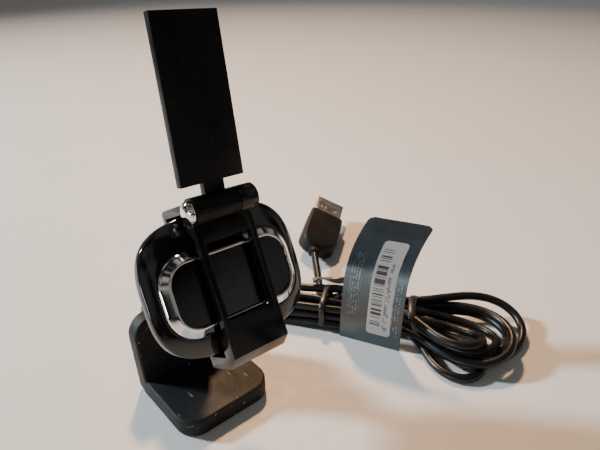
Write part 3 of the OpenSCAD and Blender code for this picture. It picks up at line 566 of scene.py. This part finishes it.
def pill(y, a, b, r):
    """One level of the bezel or window: a rectangle with round corners, at depth y."""
    ring = []
    run_x, run_z, turn = 2 * (a - r), 2 * (b - r), math.pi * r / 2
    total = 2 * (run_x + run_z) + 4 * turn
    for k in range(AROUND):
        d = (total * k / AROUND - run_z / 2) % total
        for corner, (cx, cz) in enumerate(((a - r, b - r), (r - a, b - r), (r - a, r - b), (a - r, r - b))):
            if d < turn:
                t = (corner + d / turn) * math.pi / 2
                ring.append(Vector((cx + r * math.cos(t), y, cz + r * math.sin(t))))
                break
            d -= turn
            run = run_x if corner % 2 == 0 else run_z
            if d < run:
                t = (corner + 1) * math.pi / 2
                ahead = Vector((-math.sin(t), 0, math.cos(t)))
                ring.append(Vector((cx + r * math.cos(t), y, cz + r * math.sin(t))) + ahead * d)
                break
            d -= run
    return ring


def skin(levels, place, name, closed=False, sharp=COVER_CREASE):
    """A surface through the levels, capped at both ends, or closed from the last to the first."""
    n = len(levels[0])
    verts = [place @ point for ring in levels for point in ring]
    faces = []
    last = len(levels) if closed else len(levels) - 1
    for i in range(last):
        j = (i + 1) % len(levels)
        for k in range(n):
            m = (k + 1) % n
            faces.append((i * n + k, i * n + m, j * n + m, j * n + k))
    if not closed:
        faces.append(tuple(range(n)))
        faces.append(tuple((len(levels) - 1) * n + k for k in reversed(range(n))))
    return new_piece(name, verts, faces, sharp)


def carve(obj, cutters):
    for cutter in cutters:
        cut = obj.modifiers.new("cut", "BOOLEAN")
        cut.operation = "DIFFERENCE"
        cut.object = cutter
        cut.solver = "EXACT"
    baked(obj)
    for cutter in cutters:
        bpy.data.objects.remove(cutter)


front_levels = [
    pill(SEAT, RING_A + FLARE - 0.5, RING_B + FLARE - 0.5, RING_CORNER + FLARE - 0.5),
    pill(SEAT, RING_A + FLARE + 0.02, RING_B + FLARE + 0.02, RING_CORNER + FLARE),
    pill(SLOPE + 0.12, RING_A + FLARE + 0.05, RING_B + FLARE + 0.05, RING_CORNER + FLARE),
    egg(SLOPE + 0.1, 19.3, 10.9, 0.15, 3.5),
    egg(SLOPE + 0.25, 19.75, 12.1, 0.4, 3.4),
    egg(SLOPE + 0.5, 20.4, 13.6, 0.7, 3.25),
    egg(RIM - 0.62, 21.05, 15, 0.95, 3.15),
    egg(RIM - 0.3, 21.6, 16.05, 1.1),
    egg(RIM - 0.05, 21.98, 16.75, RISE),
    egg(RIM + 0.2, 22.17, 17.08, RISE),
    egg(RIM + 0.5, HEAD_A, HEAD_B, RISE),
    egg(SIDE_END - 0.15, HEAD_A, HEAD_B, RISE),
    egg(SIDE_END, HEAD_A - 0.15, HEAD_B - 0.15, RISE),
    egg(SIDE_END, HEAD_A - WALL, HEAD_B - WALL, RISE),
    egg(RIM + 1.6, HEAD_A - 1.9, HEAD_B - 1.9, RISE),
    egg(SEAT + 1.6, RING_A + 0.4, RING_B + 0.4, 0.5, 3.4),
    pill(SEAT + 1.2, RING_A - 0.9, RING_B - 0.9, RING_CORNER - 1),
    pill(SEAT, RING_A - 0.9, RING_B - 0.9, RING_CORNER - 1)]
front = skin(front_levels, head_place, "front_cover_shell", True)
MIC_SLOTS = ((-11.1, 12.9), (-11.1, 11.35))
SLOT_HALF = (2.1, 0.5)
slots = [[oval(y, *SLOT_HALF, 24, x, z) for y in (-1, 6)] for x, z in MIC_SLOTS]
carve(front, [skin(levels, head_place, "slot") for levels in slots])
front.data.shade_smooth()
front.data.set_sharp_from_angle(angle=math.radians(COVER_CREASE))
dress(front, "head", gloss_black, ("front_cover",))

REAR_SHAPE = [(0, 0.975), (0.06, 0.962), (0.18, 0.9), (0.3, 0.84), (0.42, 0.78), (0.54, 0.715), (0.66, 0.65),
              (0.76, 0.59), (0.84, 0.53), (0.91, 0.475), (0.955, 0.435), (0.985, 0.4), (1, 0.37)]
REAR_FROM = SIDE_END - 0.2
REAR_DEPTH = 22
TAIL_DROP = 4.4
STEM_R = 2.87


def rear_level(f, share, inset=0.0):
    y = REAR_FROM + f * (REAR_DEPTH - REAR_FROM)
    return egg(y, HEAD_A * share - inset, HEAD_B * share - inset, RISE - TAIL_DROP * f)


def stem_hole(y, r):
    return oval(y, r, r, z=-JOINT_RISE, start=0.5)


rear_levels = [rear_level(0, 0.975, WALL)] + [rear_level(f, share) for f, share in REAR_SHAPE]
rear_levels += [stem_hole(REAR_DEPTH, STEM_R + 0.9), stem_hole(REAR_DEPTH - 0.3, STEM_R + 0.2),
                stem_hole(REAR_DEPTH - 1.6, STEM_R)]
rear_levels += [egg(REAR_DEPTH - 1.6, 8, 5.2, -2.6)]
rear_levels += [rear_level(f, share, 1.6) for f, share in reversed(REAR_SHAPE[1:9])]
rear = skin(rear_levels, head_place, "rear_cover_shell", True, 40)
dress(rear, "head", matte_black, ("rear_cover",))


# ---- Bezel ring ----
# A bright plated ring frames the window. Its side slopes out into the front cover,
# and its narrow front lip is slightly rounded.
def mirror_plate():
    made = Finish("bright_plate", Metallic=1.0)
    haze = made.cloud(0.006, 3)
    made.feed("Base Color", made.tint(haze, (0.78, 0.765, 0.745), (0.9, 0.885, 0.865)))
    smudge = made.between(made.cloud(0.0025, 5, 0.7), 0.5, 0.75, 0.035, 0.11)
    made.feed("Roughness", smudge)
    made.relief(made.cloud(0.004, 2), 0.00001, 0.3)
    return made.material


plate = mirror_plate()
ring_levels = [pill(1.1, RING_A - 0.62, RING_B - 0.62, RING_CORNER - 0.6),
               pill(0.14, RING_A - 0.6, RING_B - 0.6, RING_CORNER - 0.6),
               pill(0.03, RING_A - 0.5, RING_B - 0.5, RING_CORNER - 0.5),
               pill(0, RING_A - 0.36, RING_B - 0.36, RING_CORNER - 0.4),
               pill(0.02, RING_A - 0.12, RING_B - 0.12, RING_CORNER - 0.1),
               pill(0.14, RING_A + 0.06, RING_B + 0.06, RING_CORNER + 0.1),
               pill(0.4, RING_A + 0.36, RING_B + 0.36, RING_CORNER + 0.4),
               pill(0.9, RING_A + 0.98, RING_B + 0.98, RING_CORNER + 1),
               pill(1.4, RING_A + 1.55, RING_B + 1.55, RING_CORNER + 1.5),
               pill(SLOPE, RING_A + FLARE, RING_B + FLARE, RING_CORNER + FLARE),
               pill(SEAT, RING_A + FLARE, RING_B + FLARE, RING_CORNER + FLARE),
               pill(SEAT, RING_A - 0.6, RING_B - 0.6, RING_CORNER - 0.6)]
dress(skin(ring_levels, head_place, "bezel_plate", True, 50), "head", plate, ("bezel_ring",))


# ---- Window and baffle ----
# A smoked clear window closes the ring. Behind it a black frame steps inwards to the
# lens in shallow terraces that catch thin lines of light.
def smoked():
    made = Finish("smoked_window", IOR=1.46, Transmission_Weight=1.0, Coat_Weight=0.3)
    made.feed("Base Color", made.tint(made.cloud(0.01), (0.34, 0.34, 0.36), (0.42, 0.42, 0.43)))
    made.feed("Roughness", made.between(made.cloud(0.004, 5, 0.7), 0.5, 0.8, 0.0, 0.05))
    return made.material


GLASS_A = RING_A - 0.62
GLASS_B = RING_B - 0.62
window_levels = [pill(1.7, GLASS_A, GLASS_B, RING_CORNER - 0.6),
                 pill(0.8, GLASS_A, GLASS_B, RING_CORNER - 0.6),
                 pill(0.7, GLASS_A - 0.12, GLASS_B - 0.12, RING_CORNER - 0.7)]
pane = skin(window_levels, head_place, "window_pane", False, 30)
dress(pane, "head", smoked(), ("window",))
satin_black = plain_finish("satin_black_plastic", (0.012, 0.012, 0.013), 0.32, 0.0003, 0.00001, 0.2)
baffle_levels = [pill(SEAT + 3.4, GLASS_A - 0.9, GLASS_B - 0.9, RING_CORNER - 1.4),
                 pill(SEAT, GLASS_A - 0.9, GLASS_B - 0.9, RING_CORNER - 1.4),
                 pill(SEAT, GLASS_A, GLASS_B, RING_CORNER - 0.6),
                 pill(1.74, GLASS_A, GLASS_B, RING_CORNER - 0.6)]
STEPS = 5
for step in range(STEPS):
    a, b = GLASS_A - 1.2 - 2.1 * step, GLASS_B - 1.0 - 0.8 * step
    r = min(RING_CORNER - 1.8 - 0.3 * step, b - 0.1)
    depth = 1.74 + 0.72 * step
    baffle_levels += [pill(depth, a, b, r), pill(depth + 0.08, a - 0.1, b - 0.1, r - 0.05),
                      pill(depth + 0.7, a - 0.3, b - 0.2, r - 0.1)]
BARREL_R = 3.2
BAFFLE_HOLE = BARREL_R + 0.1
baffle_levels += [oval(y, BAFFLE_HOLE, BAFFLE_HOLE) for y in (5.4, SEAT + 3.4)]
baffle = skin(baffle_levels, head_place, "stepped_baffle", True, 25)
dress(baffle, "head", satin_black, ("lens_baffle",))


# ---- Lens ----
# The black barrel holds a domed, coated front element behind fine anti-glare rings.
barrel_low = 4.3
GROOVE = 0.24
barrel_profile = [(barrel_low, 2.3), (barrel_low, BARREL_R - 0.15), (barrel_low + 0.15, BARREL_R),
                  (12, BARREL_R), (12, 1.7), (6.6, 1.7), (6.5, 2.3)]
for ring in range(4):
    groove_at, widen = barrel_low - GROOVE * ring, 0.03 * ring
    barrel_profile += [(groove_at + 1.15, 2.3 + widen), (groove_at + 1.03, 2.38 + widen)]


def spun(profile, name):
    """A ring of revolution about the head's depth axis, its profile closed on itself."""
    return skin([oval(y, r, r, 64) for y, r in profile], head_place, name, True, 30)


dress(spun(barrel_profile, "lens_barrel_tube"), "head", satin_black, ("lens_barrel",))


def coated_glass(name, tone, reflection):
    made = Finish(name, IOR=1.52, Transmission_Weight=0.85, Coat_Weight=0.8, Coat_Roughness=0.02)
    made.feed("Base Color", made.tint(made.cloud(0.002), tone, reflection))
    made.feed("Roughness", made.between(made.cloud(0.003, 4), 0.4, 0.8, 0.0, 0.04))
    return made.material


coating = coated_glass("coated_lens_glass", (0.1, 0.09, 0.16), (0.2, 0.16, 0.3))
LENS_R = 2.28
DOME = 4.0
sag = DOME - math.sqrt(DOME ** 2 - LENS_R ** 2)
dome_profile = [(barrel_low + 1.2, 0.001), (barrel_low + 1.2, LENS_R)]
DOME_CUTS = 10
for k in range(DOME_CUTS):
    r = LENS_R * (1 - k / DOME_CUTS)
    dome_profile.append((barrel_low + 1.0 - sag + DOME - math.sqrt(DOME ** 2 - r ** 2), max(r, 0.001)))
dress(spun(dome_profile, "front_lens_dome"), "head", coating, ("front_lens",))


# ---- Inside the head ----
# Behind the barrel sit the lens holder, the filter and the sensor on a small green board,
# with its chips, crystal, lamp, plug and screws, and a microphone in its rubber cup.
def board_green():
    made = Finish("solder_mask_green", Coat_Weight=0.4)
    tracks = made.between(made.cloud(0.0012, 0, 0.2, (1, 1, 0.3)), 0.49, 0.51)
    made.feed("Base Color", made.tint(tracks, (0.01, 0.09, 0.04), (0.025, 0.17, 0.075)))
    made.feed("Roughness", made.between(made.cloud(0.002), 0.3, 0.7, 0.25, 0.4))
    made.relief(tracks, 0.00002)
    return made.material


inside = {
    "lens_holder": satin_black, "image_sensor": satin_black, "board_chips": satin_black,
    "main_board": board_green(), "rear_lens": coating, "clock_crystal": plated, "board_screws": plated,
    "stem_retainer": plated, "retainer_screws": plated, "microphone": plated, "microphone_boot": soft_black,
    "infrared_filter": coated_glass("pink_filter_glass", (0.5, 0.16, 0.2), (0.62, 0.24, 0.28)),
    "status_lamp": plain_finish("milky_lamp", (0.62, 0.72, 0.66), 0.35, 0.0004, 0.00001, 0.1,
                                Subsurface_Weight=0.2),
    "board_plug": plain_finish("cream_nylon", (0.68, 0.64, 0.54), 0.45, 0.0004, 0.00001, 0.12),
    "inner_lead": jacket, "clip_pads": soft_black}
for inner_node, finish in inside.items():
    coat(inner_node, finish)


# ---- Shutter clip ----
# The clip is one black moulding that hooks over the top of the head and under its
# chin. Two rails run down either side of the lens to a solid wedge below.
def moulded_black(name, tone, rough, dust, shine):
    made = Finish(name, Specular_IOR_Level=shine)
    sheen = made.cloud(0.006, 4)
    colour = made.tint(sheen, tuple(c * 0.8 for c in tone), tuple(c * 1.3 for c in tone))
    motes = made.between(made.cloud(0.0006, 3, 0.7), 0.66, 0.7)
    colour = made.tint(motes * dust, colour, (0.34, 0.34, 0.35))
    made.feed("Base Color", colour)
    made.feed("Roughness", made.between(made.cloud(0.003, 4), 0.3, 0.75, rough * 0.8, rough * 1.35))
    made.relief(made.cloud(0.0009, 3) + made.cloud(0.00018, 1) * 0.4, 0.000018)
    return made.material


clip_black = moulded_black("moulded_clip_black", (0.006, 0.006, 0.0063), 0.16, 0.2, 0.45)
dress(eased("clip_frame", "shutter_clip", 0.28, 3, 25), "head", clip_black, ("clip_frame",))


# ---- Hinge pin ----
# A plated steel pin with a low dome head runs through the clip's knuckle and the flap's.
hinge_at = head_place.inverted() @ Vector(joints["shutter_hinge"]["pos_m"])
hinge_place = head_place @ Matrix.Translation(hinge_at)
PIN_HEAD = -8.1
PIN_END = 9.95
pin_profile = [(PIN_HEAD - 1.72, 0.02), (PIN_HEAD - 1.69, 0.7), (PIN_HEAD - 1.55, 1.4),
               (PIN_HEAD - 1.28, 2.05), (PIN_HEAD - 0.86, 2.6), (PIN_HEAD - 0.4, 2.88),
               (PIN_HEAD - 0.1, 2.92), (PIN_HEAD, 2.85), (PIN_HEAD, 1.2), (PIN_END, 1.2),
               (PIN_END + 0.25, 0.95)]
dress(turned(pin_profile, 64, hinge_place, "hinge_pin_bar"), "head", plate, ("hinge_pin",))


# ---- Shutter flap ----
# The flap is a thin flat plate with a narrow neck, moulded with its own hinge knuckle.
# It stands open, leaning forward over the head, and folds down to cover the window.
flap_black = moulded_black("moulded_flap_black", (0.003, 0.003, 0.003), 0.32, 0.15, 0.2)
flap = eased("shutter_flap", "shutter_plate", 0.22, 3, 25)
dress(flap, "flap", flap_black, ("shutter_flap",))


# ---- Plug ----
# The plug is a flat metal shell with two latch windows in a dark grey overmould that
# narrows to the lead through a short collar.
plug_side = Vector((0, 0, 1)).cross(plug_axis).normalized()
PLUG_ROLL = math.radians(24)
plug_up = plug_axis.cross(plug_side).normalized()
rolled_side = plug_side * math.cos(PLUG_ROLL) + plug_up * math.sin(PLUG_ROLL)
rolled_up = plug_axis.cross(rolled_side).normalized()
SHELL_L = 11.8
plug_tip = Vector(plug_mount["pos_m"])
plug_turn = Matrix((plug_axis, rolled_side, rolled_up)).transposed().to_4x4()
plug_place = Matrix.Translation(plug_tip - plug_axis * SHELL_L * MM) @ plug_turn @ Matrix.Scale(MM, 4)
mould_place = plug_place @ Matrix.Rotation(math.radians(-90), 4, "Z")
mould_levels = [pill(-26.2, 1.6, 1.5, 1.45), pill(-25.9, 2.2, 2.0, 1.6), pill(-24, 2.5, 2.2, 1.8),
                pill(-23.6, 3.6, 2.7, 1.6), pill(-22.4, 5.4, 3.2, 1.5), pill(-20.4, 6.9, 3.6, 1.4),
                pill(-18.6, 7.4, 3.8, 1.3), pill(-17, 7.5, 3.8, 1.2), pill(-9, 7.4, 3.8, 1.2),
                pill(-1.2, 7.2, 3.72, 1.2), pill(-0.35, 7.1, 3.65, 1.1), pill(0, 6.8, 3.35, 0.9),
                pill(0, 5.9, 2.2, 0.3), pill(-0.6, 5.9, 2.2, 0.3)]
mould = skin(mould_levels, mould_place, "plug_overmould", False, 30)
grey_mould = plain_finish("dark_grey_overmould", (0.01, 0.0095, 0.009), 0.5, 0.0003, 0.00002, 0.2, 0.15,
                          Specular_IOR_Level=0.22)
dress(mould, "foot", grey_mould, ("plug_mould",))


def nickel():
    made = Finish("nickel_shell", Metallic=1.0)
    made.feed("Base Color", made.tint(made.cloud(0.004, 4), (0.5, 0.485, 0.46), (0.64, 0.62, 0.59)))
    drawn = made.cloud(0.0005, 3, 0.6, (1, 0.15, 1))
    made.feed("Roughness", made.between(drawn, 0.3, 0.7, 0.24, 0.42))
    made.relief(drawn, 0.000008, 0.5)
    return made.material


shell = eased("plug_shell", "plug_shell_sleeve", 0.14, 2, 30)
dress(shell, "foot", nickel(), ("plug_shell",))
tongue_white = plain_finish("white_tongue", (0.75, 0.75, 0.74), 0.4, 0.0004, 0.00001, 0.08)
gold = plain_finish("gold_contact", (0.78, 0.55, 0.22), 0.22, 0.0004, 0.000005, 0.12, Metallic=1.0)
coat("plug_tongue", tongue_white)
coat("plug_contacts", gold)


# ---- Ties ----
# The first tie is a flat coated wire with a twisted tail; the second is a thicker
# wrap of the same kind. Both are pulled round the whole bundle.
BAND_CUTS = 72
STRAP_CUTS = 12
TIE_HALF = HANK_HALF - 0.2


def band(name, s, low, width, thick, square=0.62, bulge=0.4):
    """A flat strap bent round the bundle as one closed loop."""
    middle = (low + HANK_TOP) / 2
    half_h = (HANK_TOP - low) / 2
    outline = []
    for k in range(BAND_CUTS):
        t = 2 * math.pi * k / BAND_CUTS
        c, sn = math.cos(t), math.sin(t)
        outline.append((math.copysign(abs(c) ** square, c), math.copysign(abs(sn) ** square, sn)))
    section = []
    for k in range(STRAP_CUTS):
        t = 2 * math.pi * k / STRAP_CUTS
        out = thick * (0.5 + 0.5 * math.copysign(abs(math.sin(t)) ** 0.7, math.sin(t)))
        section.append((width / 2 * math.cos(t), out))
    verts, faces = [], []
    for c, sn in outline:
        for ds, out in section:
            ahead = s + ds + bulge * (1 - abs(sn))
            verts.append(on_hank(ahead, c * (TIE_HALF + out), middle + sn * (half_h + out)) * MM)
    n = STRAP_CUTS
    for i in range(BAND_CUTS):
        j = (i + 1) % BAND_CUTS
        for k in range(n):
            m = (k + 1) % n
            faces.append((i * n + k, j * n + k, j * n + m, i * n + m))
    return new_piece(name, verts, faces, 50)


tie_black = plain_finish("coated_tie_black", (0.012, 0.012, 0.012), 0.35, 0.0004, 0.00001, 0.2, 0.15)
left_tie = band("first_tie", TIE_AT[0], HANK_LOW, 1.9, 0.6)
dress(left_tie, "foot", tie_black, ("tie_left",))
right_tie = band("second_tie", TIE_AT[1] + 0.8, HANK_LOW + 0.2, 2.6, 1.0, 0.75, 2.4)
dress(right_tie, "foot", tie_black, ("tie_right",))


def ribbon_run(name, points, width, thick, twist):
    """A narrow flat ribbon along points, turned about its own line by twist turns."""
    line = rounded_route(points, 0.7)
    verts, faces = [], []
    last = len(line) - 1
    for i, place in enumerate(line):
        ahead = Vector(line[min(i + 1, last)] - line[max(i - 1, 0)]).normalized()
        side = ahead.cross(Vector((0, 0, 1))).normalized()
        up = side.cross(ahead)
        turn = 2 * math.pi * twist * i / last
        u = side * math.cos(turn) + up * math.sin(turn)
        w = up * math.cos(turn) - side * math.sin(turn)
        for a, b in ((-1, -1), (1, -1), (1, 1), (-1, 1)):
            verts.append((Vector(place) + u * a * width / 2 + w * b * thick / 2) * MM)
    for i in range(last):
        for k in range(4):
            m = (k + 1) % 4
            faces.append((i * 4 + k, i * 4 + m, (i + 1) * 4 + m, (i + 1) * 4 + k))
    faces += [(3, 2, 1, 0), tuple(last * 4 + k for k in range(4))]
    return new_piece(name, verts, faces, 50)


tail_points = [on_hank(38.6, 6.6, 10.4), on_hank(41.2, 7.4, 11.2), on_hank(44, 7, 11.6),
               on_hank(47.6, 6.4, 12), on_hank(51.6, 7.6, 12.2)]
tie_tail = ribbon_run("tie_tail", tail_points, 2.2, 0.8, 0.35)
tail_grey = plain_finish("grey_brown_tie", (0.15, 0.125, 0.1), 0.4, 0.0004, 0.00001, 0.2)
dress(tie_tail, "foot", tail_grey)


# ---- Flag label ----
# A laminated dark label is folded round one strand and stands up beside the hank, its
# free end curling away over it. A pale paper sticker with plain bars is stuck on it.
LABEL_RISE = [(0, 0.12), (0.1, 3.5), (0.2, 7), (0.5, 10), (1, 13), (1.9, 18), (3.4, 24), (5.5, 29),
              (8.2, 33), (11.2, 36.6), (14.5, 39.5)]
LABEL_W = 20.5
LABEL_TURN = math.radians(-10)
LABEL_CORNER = 1.6
LABEL_LEAN = 15
LEAN_FROM = 0.45
RIPPLE = 0.25
label_start = on_hank(51, -HANK_HALF - 0.9, 0)
label_line = HANK_LINE.copy()
label_line.rotate(Matrix.Rotation(LABEL_TURN, 3, "Z"))
label_side = Vector((-label_line.y, label_line.x, 0))
label_curve = rounded_route([Vector((0, p, z)) for p, z in LABEL_RISE], 0.6)
label_long = float(np.linalg.norm(np.diff(label_curve, axis=0), axis=1).sum())


def label_point(u, v, lift):
    """A point of the label: u across from 0 to 1, v up its length, lift off its face."""
    at = min(max(v, 0), 1) * (len(label_curve) - 1)
    i = min(int(at), len(label_curve) - 2)
    t = at - i
    place = label_curve[i] * (1 - t) + label_curve[i + 1] * t
    ahead = Vector(label_curve[i + 1] - label_curve[i]).normalized()
    face = Vector((0, -ahead.z, ahead.y))
    lean = LABEL_LEAN * max(0, v - LEAN_FROM) ** 2
    place = Vector(place) + face * lift
    ripple = RIPPLE * math.sin(u * 5 + v * 4) * v
    across_hank = label_side * (place.y + ripple) + Vector((0, 0, place.z))
    return (label_start + label_line * (u * LABEL_W + lean) + across_hank) * MM


def paper(name, u0, u1, v0, v1, lift, thick, corner, columns, rows):
    """A thin sheet on the label's curve with round corners at both ends, and its own UV map."""
    verts, faces, flat = [], [], []
    for r in range(rows + 1):
        fr = r / rows
        v = v0 + (v1 - v0) * fr
        edge = min(fr, 1 - fr) * (v1 - v0) * label_long
        tight = 0.0
        low_corner = corner if v0 > 0.02 or fr > 0.5 else 0
        if edge < low_corner:
            tight = (low_corner - math.sqrt(max(0, low_corner ** 2 - (low_corner - edge) ** 2))) / LABEL_W
        for c in range(columns + 1):
            fc = c / columns
            u = u0 + tight + (u1 - u0 - 2 * tight) * fc
            verts.append((u, v))
            flat.append(((u - u0) / (u1 - u0), fr))
    stride = columns + 1
    for r in range(rows):
        for c in range(columns):
            low = r * stride + c
            faces.append((low, low + 1, low + 1 + stride, low + stride))
    count = len(verts)
    places = [label_point(u, v, height) for height in (lift, lift - thick) for u, v in verts]
    rim = list(range(columns + 1)) + [r * stride + columns for r in range(1, rows + 1)]
    rim += [rows * stride + c for c in range(columns - 1, -1, -1)]
    rim += [r * stride for r in range(rows - 1, 0, -1)]
    every = faces + [tuple(count + k for k in reversed(face)) for face in faces]
    every += [(a, count + a, count + b, b) for a, b in zip(rim, rim[1:] + rim[:1])]
    obj = new_piece(name, places, every, 50)
    layer = obj.data.uv_layers.new(name="sheet")
    for loop in obj.data.loops:
        layer.data[loop.index].uv = flat[loop.vertex_index % count]
    return obj


def dashes(made, columns, rows):
    """Random values from 0 to 1, one for each cell of a grid over the sheet."""
    grid = made.add("ShaderNodeMapping", {}, {"Vector": made.sheet, "Scale": (columns, rows, 1)})
    cells = made.add("ShaderNodeVectorMath", {"operation": "FLOOR"}, {0: grid})
    return made.add("ShaderNodeTexWhiteNoise", {"noise_dimensions": "2D"}, {"Vector": cells})


LABEL_LINES = 22


def laminate():
    """Dark blue-grey laminate with faint rows of pale dashes that stand for its print."""
    made = Finish("dark_laminate", Metallic=0.72, Coat_Weight=0.4, Coat_Roughness=0.2)
    u = made.add("ShaderNodeSeparateXYZ", {}, {0: made.sheet}, "X")
    v = made.add("ShaderNodeSeparateXYZ", {}, {0: made.sheet}, "Y")
    tone = made.tint(made.cloud(0.012), (0.062, 0.08, 0.09), (0.085, 0.104, 0.114))
    row = made.add("ShaderNodeMath", {"operation": "FRACT"}, {0: u * LABEL_LINES})
    dash = dashes(made, LABEL_LINES, 90)
    left_block = (u > 0.1) * (u < 0.28) * (v > 0.22) * (v < 0.72)
    right_block = (u > 0.82) * (u < 0.93) * (v > 0.12) * (v < 0.55)
    ink = (left_block + right_block) * (row < 0.45) * (dash > 0.42)
    made.feed("Base Color", made.tint(ink * 0.5, tone, (0.3, 0.33, 0.35)))
    made.feed("Roughness", made.between(made.cloud(0.005, 4), 0.3, 0.7, 0.26, 0.36))
    made.relief(made.cloud(0.007, 3), 0.0001, 0.5)
    return made.material


label = paper("flag_label_sheet", 0, 1, 0, 1, 0, 0.3, LABEL_CORNER, 24, 72)
dress(label, "foot", laminate(), ("flag_label",))


BAR_CELLS = 128


def sticker_paper():
    """Pale grey paper with plain dark bars of random widths down one side."""
    made = Finish("pale_sticker", Specular_IOR_Level=0.4)
    u = made.add("ShaderNodeSeparateXYZ", {}, {0: made.sheet}, "X")
    v = made.add("ShaderNodeSeparateXYZ", {}, {0: made.sheet}, "Y")
    cell = made.add("ShaderNodeMath", {"operation": "FLOOR"}, {0: v * BAR_CELLS})
    chance = made.add("ShaderNodeTexWhiteNoise", {"noise_dimensions": "1D"}, {"W": cell})
    bars = (chance > 0.47) * (u > 0.12) * (u < 0.56) * (v > 0.11) * (v < 0.92)
    marks = (dashes(made, 14, 46) > 0.5) * (u > 0.66) * (u < 0.86) * (v > 0.06) * (v < 0.8)
    ground = made.tint(made.cloud(0.004), (0.4, 0.385, 0.365), (0.47, 0.455, 0.435))
    made.feed("Base Color", made.tint(bars + marks * 0.6, ground, (0.045, 0.045, 0.05)))
    made.feed("Roughness", made.between(made.cloud(0.003), 0.3, 0.7, 0.4, 0.55))
    return made.material


sticker = paper("bar_sticker_sheet", 0.44, 0.82, 0.1, 0.84, 0.1, 0.1, 0.9, 8, 60)
dress(sticker, "foot", sticker_paper(), ("label_sticker",))


# ---- Table and light ----
# The table is a pale, faintly textured board. A cool window behind on the left and a warm
# lamp behind on the right throw two sets of shadows, and a low window fills from the left.
table_mesh = bpy.data.meshes.new("table")
TABLE = 1.6
corners = [(-TABLE, -TABLE, 0), (TABLE, -TABLE, 0), (TABLE, TABLE, 0), (-TABLE, TABLE, 0)]
table_mesh.from_pydata(corners, [], [(0, 1, 2, 3)])
table = bpy.data.objects.new("table", table_mesh)
bpy.context.scene.collection.objects.link(table)
pale = Finish("pale_table", Specular_IOR_Level=0.3)
pale.feed("Base Color", pale.tint(pale.cloud(0.05, 4), (0.74, 0.725, 0.7), (0.79, 0.775, 0.755)))
pale.feed("Roughness", pale.between(pale.cloud(0.004, 3), 0.3, 0.7, 0.45, 0.6))
pale.relief(pale.cloud(0.0006, 3), 0.00004)
table_mesh.materials.append(pale.material)


def soft_light(name, place, size, power, tone, depth=None, spread=180):
    data = bpy.data.lights.new(name, "AREA")
    data.shape = "RECTANGLE"
    data.size = size
    data.size_y = depth or size
    data.energy = power
    data.color = tone
    data.spread = math.radians(spread)
    light = bpy.data.objects.new(name, data)
    light.location = place
    light.rotation_euler = (Vector(place) - AIM).to_track_quat("Z", "Y").to_euler()
    bpy.context.scene.collection.objects.link(light)


soft_light("cool_window", (-0.56, 0.83, 0.58), 0.12, 4.1, (0.8, 0.92, 1.0), spread=84)
soft_light("warm_lamp", (0.42, 0.63, 0.88), 0.1, 3.1, (1.0, 0.6, 0.33), spread=84)
soft_light("low_window", (-1.05, -0.14, 0.12), 0.5, 2.4, (0.84, 0.93, 1.0), 0.08)
world = bpy.data.worlds.new("room")
world.use_nodes = True
room = world.node_tree.nodes["Background"]
room.inputs["Color"].default_value = (0.92, 0.89, 0.84, 1)
around = world.node_tree.nodes.new("ShaderNodeTexCoord")
walls = world.node_tree.nodes.new("ShaderNodeTexNoise")
walls.inputs["Scale"].default_value = 2.6
walls.inputs["Detail"].default_value = 1.0
shade = world.node_tree.nodes.new("ShaderNodeMapRange")
for key, value in (("From Min", 0.44), ("From Max", 0.6), ("To Min", 0.015), ("To Max", 0.34)):
    shade.inputs[key].default_value = value
world.node_tree.links.new(around.outputs["Generated"], walls.inputs["Vector"])
world.node_tree.links.new(walls.outputs[0], shade.inputs["Value"])
world.node_tree.links.new(shade.outputs[0], room.inputs["Strength"])
bpy.context.scene.world = world
